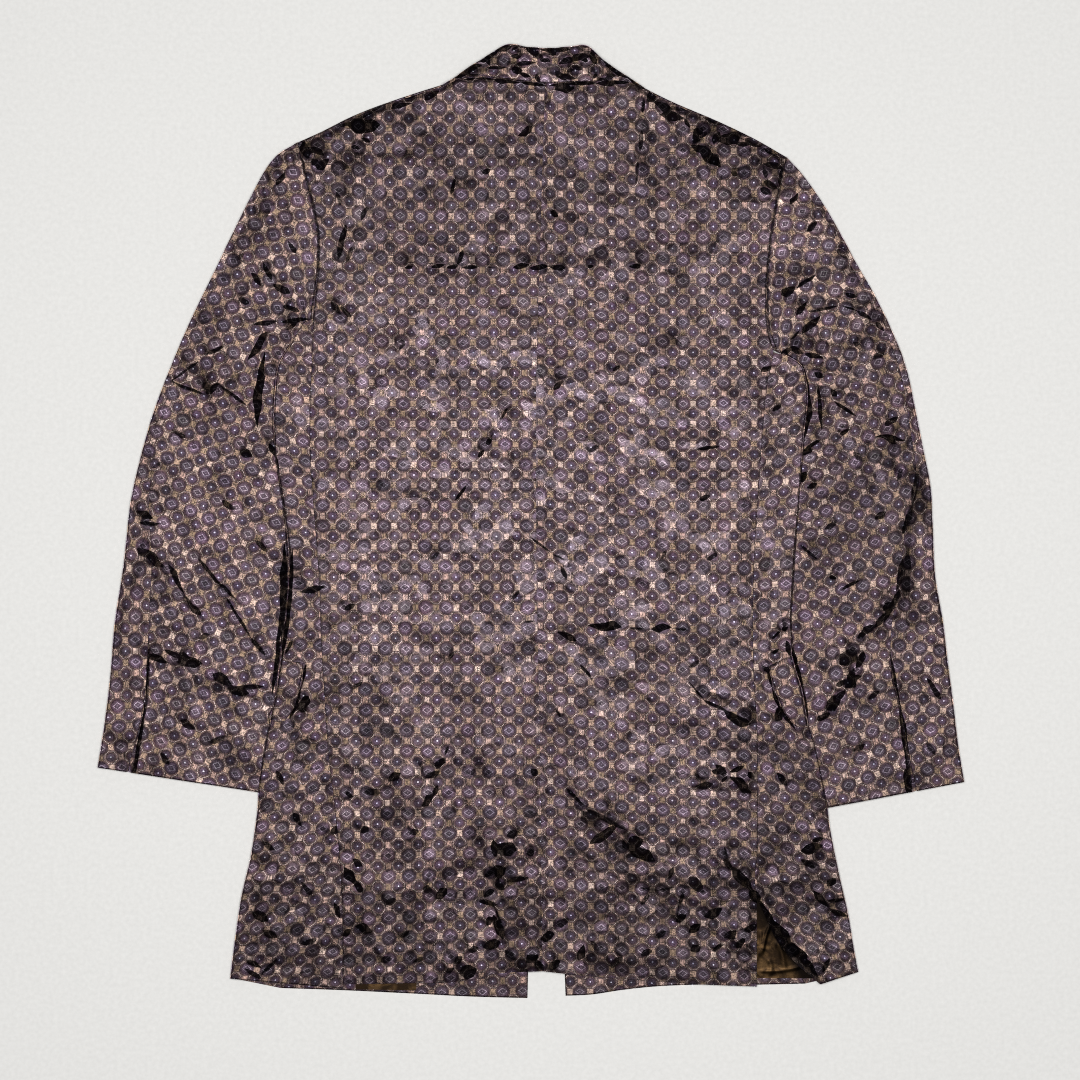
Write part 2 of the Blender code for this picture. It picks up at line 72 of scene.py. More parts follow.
Edge = namedtuple("Edge", "x y")
Side = namedtuple("Side", "seam_x seam_y fold_x fold_y front_x")
Sleeve = namedtuple("Sleeve", "outer_x outer_y inner_x inner_y bow seam")
Collar = namedtuple("Collar", "x fold_y edge_y")
Lapel = namedtuple("Lapel", "roll_x roll_y edge_x edge_y")
Flap = namedtuple("Flap", "rear_x rear_y fold_y front_x")
Mound = namedtuple("Mound", "x y half_width half_length rise")
Fold = namedtuple("Fold", "x0 y0 x1 y1 half_width rise")
Crease = namedtuple("Crease", "x0 y0 x1 y1 rise steep gentle bend")
Zone = namedtuple("Zone", "x y half_width half_length count rise length steep angle spread")
Grain = namedtuple("Grain", "share angle")
Leaf = namedtuple("Leaf", "x0 y0 x1 y1 width slope bend", defaults=(0.58, 0.0))
Crush = namedtuple("Crush", "x y half_width half_length amount")

# ---------------------------------------------------------------- seams and edges, from the top down
SHOULDER = {
    "left": [Edge(-210, 342), Edge(-190, 351), Edge(-162, 365), Edge(-106, 385.6), Edge(-77, 394.7)],
    "right": [Edge(229, 329), Edge(203, 344), Edge(170, 360), Edge(123, 380.2), Edge(100, 391.7)],
}
NECK = {
    "left": [Edge(-77, 394.7), Edge(-64, 400.5), Edge(-37, 405), Edge(13, 404)],
    "right": [Edge(100, 391.7), Edge(86, 397.5), Edge(62, 404), Edge(13, 404)],
}
ARMHOLE = {
    "left": [Edge(-210, 342), Edge(-205, 321), Edge(-198, 292), Edge(-192, 263), Edge(-191, 243),
             Edge(-193, 216), Edge(-196, 184)],
    "right": [Edge(229, 329), Edge(224, 303), Edge(218, 272), Edge(213.5, 236), Edge(211.5, 200),
              Edge(213, 173), Edge(218, 155)],
}
CENTRE_SEAM = [Edge(13, 404), Edge(10.5, 335), Edge(8, 245), Edge(5, 155), Edge(4.5, 65),
               Edge(5, -70), Edge(7, -160), Edge(9, -295), Edge(10, -404)]
HEM_BACK = {
    "left": [Edge(-169.5, -416), Edge(-118, -415), Edge(-55, -412), Edge(-35, -407), Edge(10, -404)],
    "right": [Edge(203, -418), Edge(152, -416), Edge(98, -412), Edge(44, -408), Edge(10, -404)],
}
FRONT_EDGE = {
    "left": [Edge(-74, 390), Edge(-55, 353), Edge(-37, 272), Edge(-19, 164), Edge(-1, 38),
             Edge(5, -34), Edge(3, -160), Edge(0, -295), Edge(-3.5, -429)],
    "right": [Edge(97, 385), Edge(75, 344), Edge(58, 272), Edge(42, 164), Edge(26, 38),
              Edge(19, -34), Edge(22, -160), Edge(26, -295), Edge(31, -427)],
}
HEM_FRONT = {
    "left": [Edge(-226, -420), Edge(-169, -422), Edge(-107, -425), Edge(-46, -428), Edge(-3.5, -429)],
    "right": [Edge(247, -416), Edge(203, -417), Edge(152, -417), Edge(107, -419), Edge(80, -422),
              Edge(53, -426), Edge(31, -427)],
}
SIDE = {
    "left": [
        Side(-196.5, 180, -204, 178, -181), Side(-197, 159, -216, 159, -174),
        Side(-197.5, 144, -225, 144, -168), Side(-199, 110, -229, 110, -161),
        Side(-199, 60, -228, 60, -158), Side(-197, 29, -222.5, 29, -156),
        Side(-191, -52, -213, -52, -154), Side(-189, -106, -222, -106, -161),
        Side(-187, -142, -226.5, -142, -168), Side(-184, -187, -235.5, -187, -177),
        Side(-181, -223, -242, -223, -185), Side(-176.5, -259, -246, -259, -192),
        Side(-173, -295, -251, -295, -201), Side(-170, -340, -261, -340, -212),
        Side(-169.5, -381, -267, -381, -221), Side(-169.5, -420, -270.5, -411, -226),
    ],
    "right": [
        Side(218, 150, 226, 150, 204), Side(216, 143, 239, 143, 199), Side(213, 128, 246, 128, 192),
        Side(208.5, 83, 244, 83, 186), Side(204, 20, 239.5, 20, 181), Side(200.5, -34, 235, -34, 179),
        Side(199.5, -88, 232, -88, 181), Side(200, -124, 234, -124, 184), Side(201, -151, 242, -151, 188),
        Side(203, -178, 247, -178, 192), Side(203.5, -214, 257, -214, 199), Side(203.5, -257, 265, -257, 204),
        Side(203.5, -291, 271.5, -291, 209), Side(203.5, -338, 281.5, -338, 219),
        Side(210.5, -354, 285, -354, 222), Side(224, -381, 289.5, -381, 228),
        Side(236, -395, 291.5, -393, 235), Side(260, -416, 294, -405, 247),
    ],
}
SLEEVE = {
    "left": [
        Sleeve(-211, 342, -200, 185, 11, 0.06), Sleeve(-233, 325, -208.5, 177.5, 8, 0.06),
        Sleeve(-253, 292, -215, 164.5, 4, 0.06), Sleeve(-279, 238, -226.5, 147, 1, 0.06),
        Sleeve(-306, 182, -232, 123, 0, 0.06), Sleeve(-329, 128, -234, 92, 0, 0.06),
        Sleeve(-347, 74, -232, 58, 0, 0.08), Sleeve(-360, 20, -226, 11, 0, 0.12),
        Sleeve(-366, -34, -223, -41, 0, 0.17), Sleeve(-374, -88, -225, -95, 0, 0.20),
        Sleeve(-379, -142, -232, -151, 0, 0.22), Sleeve(-384, -183, -239, -194, 0, 0.21),
        Sleeve(-390, -221, -247, -243, 0, 0.18),
    ],
    "right": [
        Sleeve(230, 328, 221, 156, -10, 0.06), Sleeve(246, 310, 228, 153.5, -6, 0.06),
        Sleeve(267, 279, 238, 147.5, -3, 0.06), Sleeve(289, 239, 245.5, 139, -1, 0.06),
        Sleeve(311, 200, 249, 126, 0, 0.06), Sleeve(335, 146, 250, 103, 0, 0.06),
        Sleeve(347, 92, 246, 69, 0, 0.07), Sleeve(358, 38, 242.5, 24, 0, 0.10),
        Sleeve(361, -3, 239.5, -16, 0, 0.20), Sleeve(363, -48, 237.5, -57, 0, 0.25),
        Sleeve(370, -88, 236, -99, 0, 0.34), Sleeve(375, -129, 243, -138, 0, 0.385),
        Sleeve(379, -160, 251, -169, 0, 0.37), Sleeve(384, -201, 258, -212, 0, 0.355),
        Sleeve(389.5, -234, 268, -257, 0, 0.35),
    ],
}
COLLAR = [
    Collar(-80, 393.0, 390.9), Collar(-68.5, 399.6, 397.4), Collar(-55, 408.8, 400.6), Collar(-37, 420, 401),
    Collar(-23.5, 428, 399.5),
    Collar(-1, 426, 396.5), Collar(17, 425, 395.5), Collar(35, 426.5, 396.5), Collar(51, 427, 397),
    Collar(62, 417, 397), Collar(75.5, 406.8, 397.3), Collar(90, 397.6, 395.2), Collar(101.6, 390.1, 388.3),
]
LAPEL = {
    "left": [Lapel(-79, 378, -94, 372), Lapel(-62, 350, -108, 336), Lapel(-54, 326, -128, 302),
             Lapel(-41, 274, -115, 240), Lapel(-26, 191, -84, 166), Lapel(-12, 87, -44, 75),
             Lapel(-2, 2, -6, -1)],
    "right": [Lapel(101, 373, 117, 366), Lapel(83, 344, 130, 329), Lapel(75, 320, 150, 295),
              Lapel(62, 270, 137, 234), Lapel(49, 186, 107, 160), Lapel(35, 85, 67, 72),
              Lapel(26, 0, 30, -3)],
}
FLAP = {
    "left": [Flap(-205, -127, -125, -100), Flap(-206, -136, -135, -100), Flap(-208.5, -148, -148, -100),
             Flap(-211.5, -160, -159, -102), Flap(-216, -171, -170, -105), Flap(-222, -179, -178, -113)],
    "right": [Flap(214.5, -129, -121.5, 107), Flap(216, -139, -132, 107), Flap(220, -151, -146, 107),
              Flap(225, -165, -160, 110), Flap(231, -175.5, -173, 113), Flap(239, -185, -183.5, 121)],
}
LINING_PATCH = {
    "right": [Edge(196, -320), Edge(238, -330), Edge(262, -411), Edge(190, -411)],
    "left": [Edge(-160, -395), Edge(-100, -395), Edge(-104, -422), Edge(-158, -421)],
}
LINING_FOLDS = [
    Fold(217, -361, 205, -391, 1.2, 0.9), Fold(207, -366, 203.5, -398, 1.6, 0.5), Fold(220, -376, 231, -405, 2.6, 0.7),
    Fold(213, -392, 217, -408, 2.0, 0.5), Fold(203, -406, 247, -400, 1.3, 0.6), Fold(-150, -404, -112, -401, 1.5, 0.4),
]
MOUNDS = [
    Mound(-195, 300, 45, 60, 2.4), Mound(213, 290, 45, 60, 2.4),
    Mound(-215, 195, 40, 40, 1.2), Mound(222, 170, 40, 40, 1.2),
    Mound(-275, 160, 45, 80, 1.2), Mound(300, 120, 45, 80, 1.2),
    Mound(-300, -40, 60, 90, 0.9), Mound(305, -60, 60, 90, 0.9),
    Mound(13, 380, 90, 35, 1.0), Mound(-215, -330, 45, 60, 0.8), Mound(255, -300, 40, 60, 0.8),
]
FOLDS = [
    Fold(170, -293, 200, -334, 14, 2.0), Fold(48, -101, 143, -101, 18, 1.6),
    Fold(-113, 222, 98, 222, 20, 1.2), Fold(-28, -277, 4, -394, 20, 1.8),
    Fold(143, -165, 198, -192, 20, 1.6), Fold(62, -250, 111, -302, 20, 1.6),
    Fold(-226, -295, -253, -367, 22, 1.4), Fold(335, 30, 322, -70, 18, 1.8),
    Fold(-330, -25, -235, -140, 22, 1.6),
]
SIGN = {"left": 1.0, "right": -1.0}

# ---------------------------------------------------------------- creases
# Each is a crest from one end to the other; its steep flank lies on the right of that way.
CREASES = {
    "body": [
        # lower right back
        Crease(142, -150, 204, -184, 2.0, 6, 18, -3), Crease(176, -173, 200, -180, 2.2, 5, 14, -2),
        Crease(148, -219, 176, -240, 2.2, 7, 12, 2), Crease(176, -228, 206, -247, 2.6, 8, 12, -3),
        Crease(158, -240, 180, -226, 1.8, 6, 10, 2), Crease(190, -240, 204, -222, 1.6, 5, 9, 1),
        Crease(46, -240, 74, -262, 2.2, 7, 14, 3), Crease(62, -254, 94, -286, 2.6, 8, 14, -3),
        Crease(90, -284, 112, -304, 2.4, 8, 12, 3), Crease(84, -300, 110, -290, 1.8, 6, 10, -2),
        Crease(98, -308, 152, -342, 1.6, 5, 14, 4), Crease(128, -318, 150, -332, 1.8, 6, 12, -2),
        Crease(152, -344, 194, -396, 1.7, 5, 12, 3), Crease(128, -340, 132, -356, 1.6, 5, 8, 1),
        Crease(170, -358, 186, -372, 1.8, 6, 10, 2), Crease(20, -372, 32, -382, 1.6, 5, 8, 0),
        Crease(170, -291, 203, -342, 2.2, 5, 14, -4),
        # lower left back
        Crease(-46, -277, -26, -304, 2.2, 8, 14, 3), Crease(-34, -296, -4, -340, 2.4, 8, 14, -4),
        Crease(-30, -330, -2, -352, 2.0, 7, 12, 2), Crease(-12, -346, 6, -398, 2.0, 6, 12, -3),
        Crease(-24, -376, 4, -404, 1.6, 6, 10, 2), Crease(-62, -402, -44, -404, 1.6, 5, 8, 1),
        Crease(-76, -210, -96, -256, 1.6, 5, 16, 4), Crease(-94, -252, -114, -260, 1.6, 5, 10, 2),
        Crease(-186, -304, -150, -336, 1.8, 6, 12, 4), Crease(-180, -318, -156, -312, 1.4, 5, 10, -2),
        Crease(-154, -364, -140, -366, 1.5, 4, 9, 1),
        # shoulders
        Crease(-208, 342, -188, 322, 1.8, 6, 12, 2), Crease(-196, 338, -180, 326, 1.5, 5, 10, 1),
        Crease(-170, 362, -136, 350, 1.9, 7, 12, -2), Crease(-160, 356, -140, 362, 1.6, 6, 10, 2),
        Crease(-124, 384, -82, 376, 1.5, 5, 12, -2), Crease(98, 380, 142, 358, 2.0, 7, 12, 3),
        Crease(118, 378, 128, 352, 1.7, 6, 10, -2), Crease(144, 354, 176, 336, 2.2, 8, 13, -3),
        Crease(160, 350, 192, 322, 1.9, 7, 12, 3), Crease(206, 322, 226, 298, 1.9, 7, 10, -2),
        Crease(204, 310, 220, 316, 1.5, 5, 9, 1), Crease(150, 346, 162, 326, 1.5, 6, 9, 2),
        # vertical press creases of the upper back
        Crease(103, 384, 99, 334, 0.9, 2.4, 12, 2), Crease(99, 334, 93, 298, 0.8, 2.4, 12, -1),
        Crease(-168, 268, -168, 200, 0.9, 2.6, 12, 3),
        # middle of the back
        Crease(-19, 106, -68, 20, 0.8, 2.6, 14, 4), Crease(20, 130, 32, 118, 1.4, 4, 9, 0),
        Crease(146, 70, 170, 64, 1.2, 4, 10, 1), Crease(152, 24, 162, 20, 1.3, 4, 8, 0),
        Crease(-184, 204, -160, 184, 1.4, 5, 10, 2), Crease(-204, -56, -184, -66, 1.5, 5, 9, 2),
        Crease(196, 150, 212, 144, 1.6, 4, 9, 1), Crease(-96, 150, -70, 118, 0.7, 2.6, 12, 2),
        Crease(60, 40, 96, 4, 0.8, 2.8, 12, -3), Crease(-150, 60, -118, 20, 0.7, 2.6, 12, 3),
        Crease(110, 300, 140, 262, 0.7, 2.8, 12, 3), Crease(-120, 320, -96, 280, 0.7, 2.8, 12, -2),
        Crease(64, -20, 30, -64, 0.9, 3, 12, 3), Crease(-60, -40, -24, -92, 0.9, 3, 12, -3),
        Crease(-140, -100, -106, -160, 0.9, 3, 12, 3), Crease(90, -130, 120, -176, 1.0, 3, 12, 2),
        # side panels
        Crease(-199, -295, -260, -356, 1.8, 6, 16, -5), Crease(-206, -312, -250, -330, 1.4, 5, 12, 3),
        Crease(-258, -400, -242, -414, 1.8, 5, 9, 1), Crease(-242, -398, -208, -390, 1.5, 5, 10, -2),
        Crease(-196, -212, -232, -250, 1.3, 5, 14, 3), Crease(258, -330, 284, -358, 1.6, 5, 10, 2),
        Crease(224, -268, 262, -300, 1.4, 5, 12, -3), Crease(212, -206, 246, -232, 1.3, 5, 12, 2),
        Crease(214, -102, 226, -100, 1.6, 3, 7, 0), Crease(222, -96, 236, -118, 1.5, 4, 8, 1),
    ],
    "sleeve": [
        # left sleeve
        Crease(-262, 178, -200, 187, 1.6, 5, 14, 2), Crease(-240, 160, -246, 74, 2.0, 6, 12, 5),
        Crease(-300, 126, -262, 112, 2.2, 6, 14, -3), Crease(-286, 124, -258, 128, 1.7, 6, 10, 2),
        Crease(-288, 122, -280, 96, 1.6, 6, 10, 2), Crease(-332, 124, -280, 164, 1.3, 4, 14, -3),
        Crease(-248, 214, -208, 208, 1.4, 5, 12, 2), Crease(-366, 10, -330, -2, 1.6, 5, 10, -2),
        Crease(-352, -24, -324, -38, 2.4, 7, 14, -2), Crease(-350, -36, -330, -28, 1.6, 6, 10, 1),
        Crease(-324, -40, -300, -80, 1.6, 5, 14, 3), Crease(-300, -80, -284, -106, 1.5, 5, 12, -2),
        Crease(-299, -32, -264, -68, 1.5, 5, 14, 3), Crease(-264, -68, -240, -120, 1.5, 5, 12, -3),
        Crease(-344, -112, -310, -126, 2.3, 7, 14, 2), Crease(-322, -118, -294, -134, 2.2, 7, 12, -2),
        Crease(-330, -132, -300, -122, 1.5, 5, 9, 1), Crease(-288, -136, -242, -158, 1.6, 5, 14, 3),
        Crease(-312, -180, -266, -192, 1.4, 5, 13, -2), Crease(-340, 60, -300, 30, 1.0, 4, 14, 3),
        Crease(-270, 40, -240, 10, 1.1, 4, 12, 2), Crease(-300, 200, -262, 170, 1.0, 4, 12, 2),
        Crease(-226, 300, -214, 262, 1.0, 4, 12, 2), Crease(-264, 262, -238, 232, 1.0, 4, 12, -2),
        # right sleeve
        Crease(228, 222, 256, 207, 1.9, 7, 12, 2), Crease(244, 196, 235, 175, 1.5, 5, 9, 1),
        Crease(256, 184, 241, 167, 1.5, 5, 9, 1), Crease(270, 196, 310, 180, 1.4, 5, 14, 3),
        Crease(198, 146, 233, 155, 1.5, 5, 10, 2), Crease(233, 155, 270, 145, 1.5, 5, 12, -2),
        Crease(246, 140, 249, 70, 2.0, 6, 12, -4), Crease(268, 114, 306, 87, 1.7, 6, 14, 3),
        Crease(305, 77, 337, 69, 2.0, 6, 12, 2), Crease(242, 47, 256, 31, 1.8, 6, 9, 1),
        Crease(236, -11, 267, -41, 1.4, 5, 12, 2), Crease(268, -48, 298, -50, 1.5, 5, 12, -4),
        Crease(347, 38, 335, -11, 2.3, 7, 12, 2), Crease(335, -11, 331, -50, 2.2, 7, 12, -2),
        Crease(331, -50, 315, -83, 2.2, 7, 12, 2), Crease(315, -83, 303, -99, 1.8, 6, 10, 0),
        Crease(274, -96, 296, -120, 2.2, 7, 12, 2), Crease(276, -118, 300, -104, 2.0, 6, 10, -2),
        Crease(284, -120, 278, -150, 2.0, 6, 10, 2), Crease(256, -156, 280, -180, 1.8, 6, 11, 2),
        Crease(354, -138, 368, -160, 1.4, 5, 10, 1), Crease(330, -176, 300, -190, 1.0, 4, 12, 2),
        Crease(330, 120, 300, 96, 1.0, 4, 12, 2), Crease(262, 300, 250, 262, 1.0, 4, 12, -2),
        Crease(300, 240, 276, 214, 1.1, 4, 12, 2), Crease(250, 0, 288, -18, 1.0, 4, 12, 2),
    ],
    "collar": [],
}
# small creases scattered by rule: middle, reach, how many, rise, length, steep flank, direction
ZONES = {
    "body": [
        Zone(10, 0, 230, 420, 620, 0.30, 26, 2.8, 50, 90), Zone(10, -300, 220, 120, 210, 0.62, 26, 3.8, -45, 40),
        Zone(-90, -300, 110, 120, 110, 0.55, 26, 3.6, 50, 35), Zone(130, -320, 90, 100, 110, 0.75, 24, 4.2, -50, 35),
        Zone(-150, 350, 70, 40, 46, 0.75, 22, 4.4, 25, 40), Zone(160, 345, 80, 45, 60, 0.85, 22, 4.6, -35, 40),
        Zone(10, 60, 160, 150, 200, 0.38, 24, 3.0, 50, 90), Zone(10, -130, 190, 90, 130, 0.5, 26, 3.4, 20, 60),
        Zone(-228, -310, 40, 110, 60, 0.6, 26, 4.0, 45, 35), Zone(255, -280, 35, 110, 60, 0.6, 24, 4.0, -45, 35),
        Zone(-190, 190, 40, 50, 40, 0.6, 22, 3.6, 10, 40), Zone(205, 150, 30, 50, 36, 0.6, 22, 3.6, 0, 40),
    ],
    "sleeve": [
        Zone(-290, 40, 110, 300, 300, 0.45, 28, 3.6, 30, 60), Zone(300, 30, 110, 300, 300, 0.45, 28, 3.6, -30, 60),
        Zone(-300, -90, 80, 120, 120, 0.7, 26, 4.2, -35, 40), Zone(290, -110, 70, 110, 120, 0.7, 26, 4.2, -35, 50),
        Zone(-280, 110, 70, 80, 80, 0.7, 26, 4.2, 20, 40), Zone(290, 120, 70, 90, 80, 0.7, 26, 4.2, -20, 40),
    ],
    "collar": [Zone(10, 410, 80, 18, 50, 0.5, 14, 3.0, 50, 90)],
}

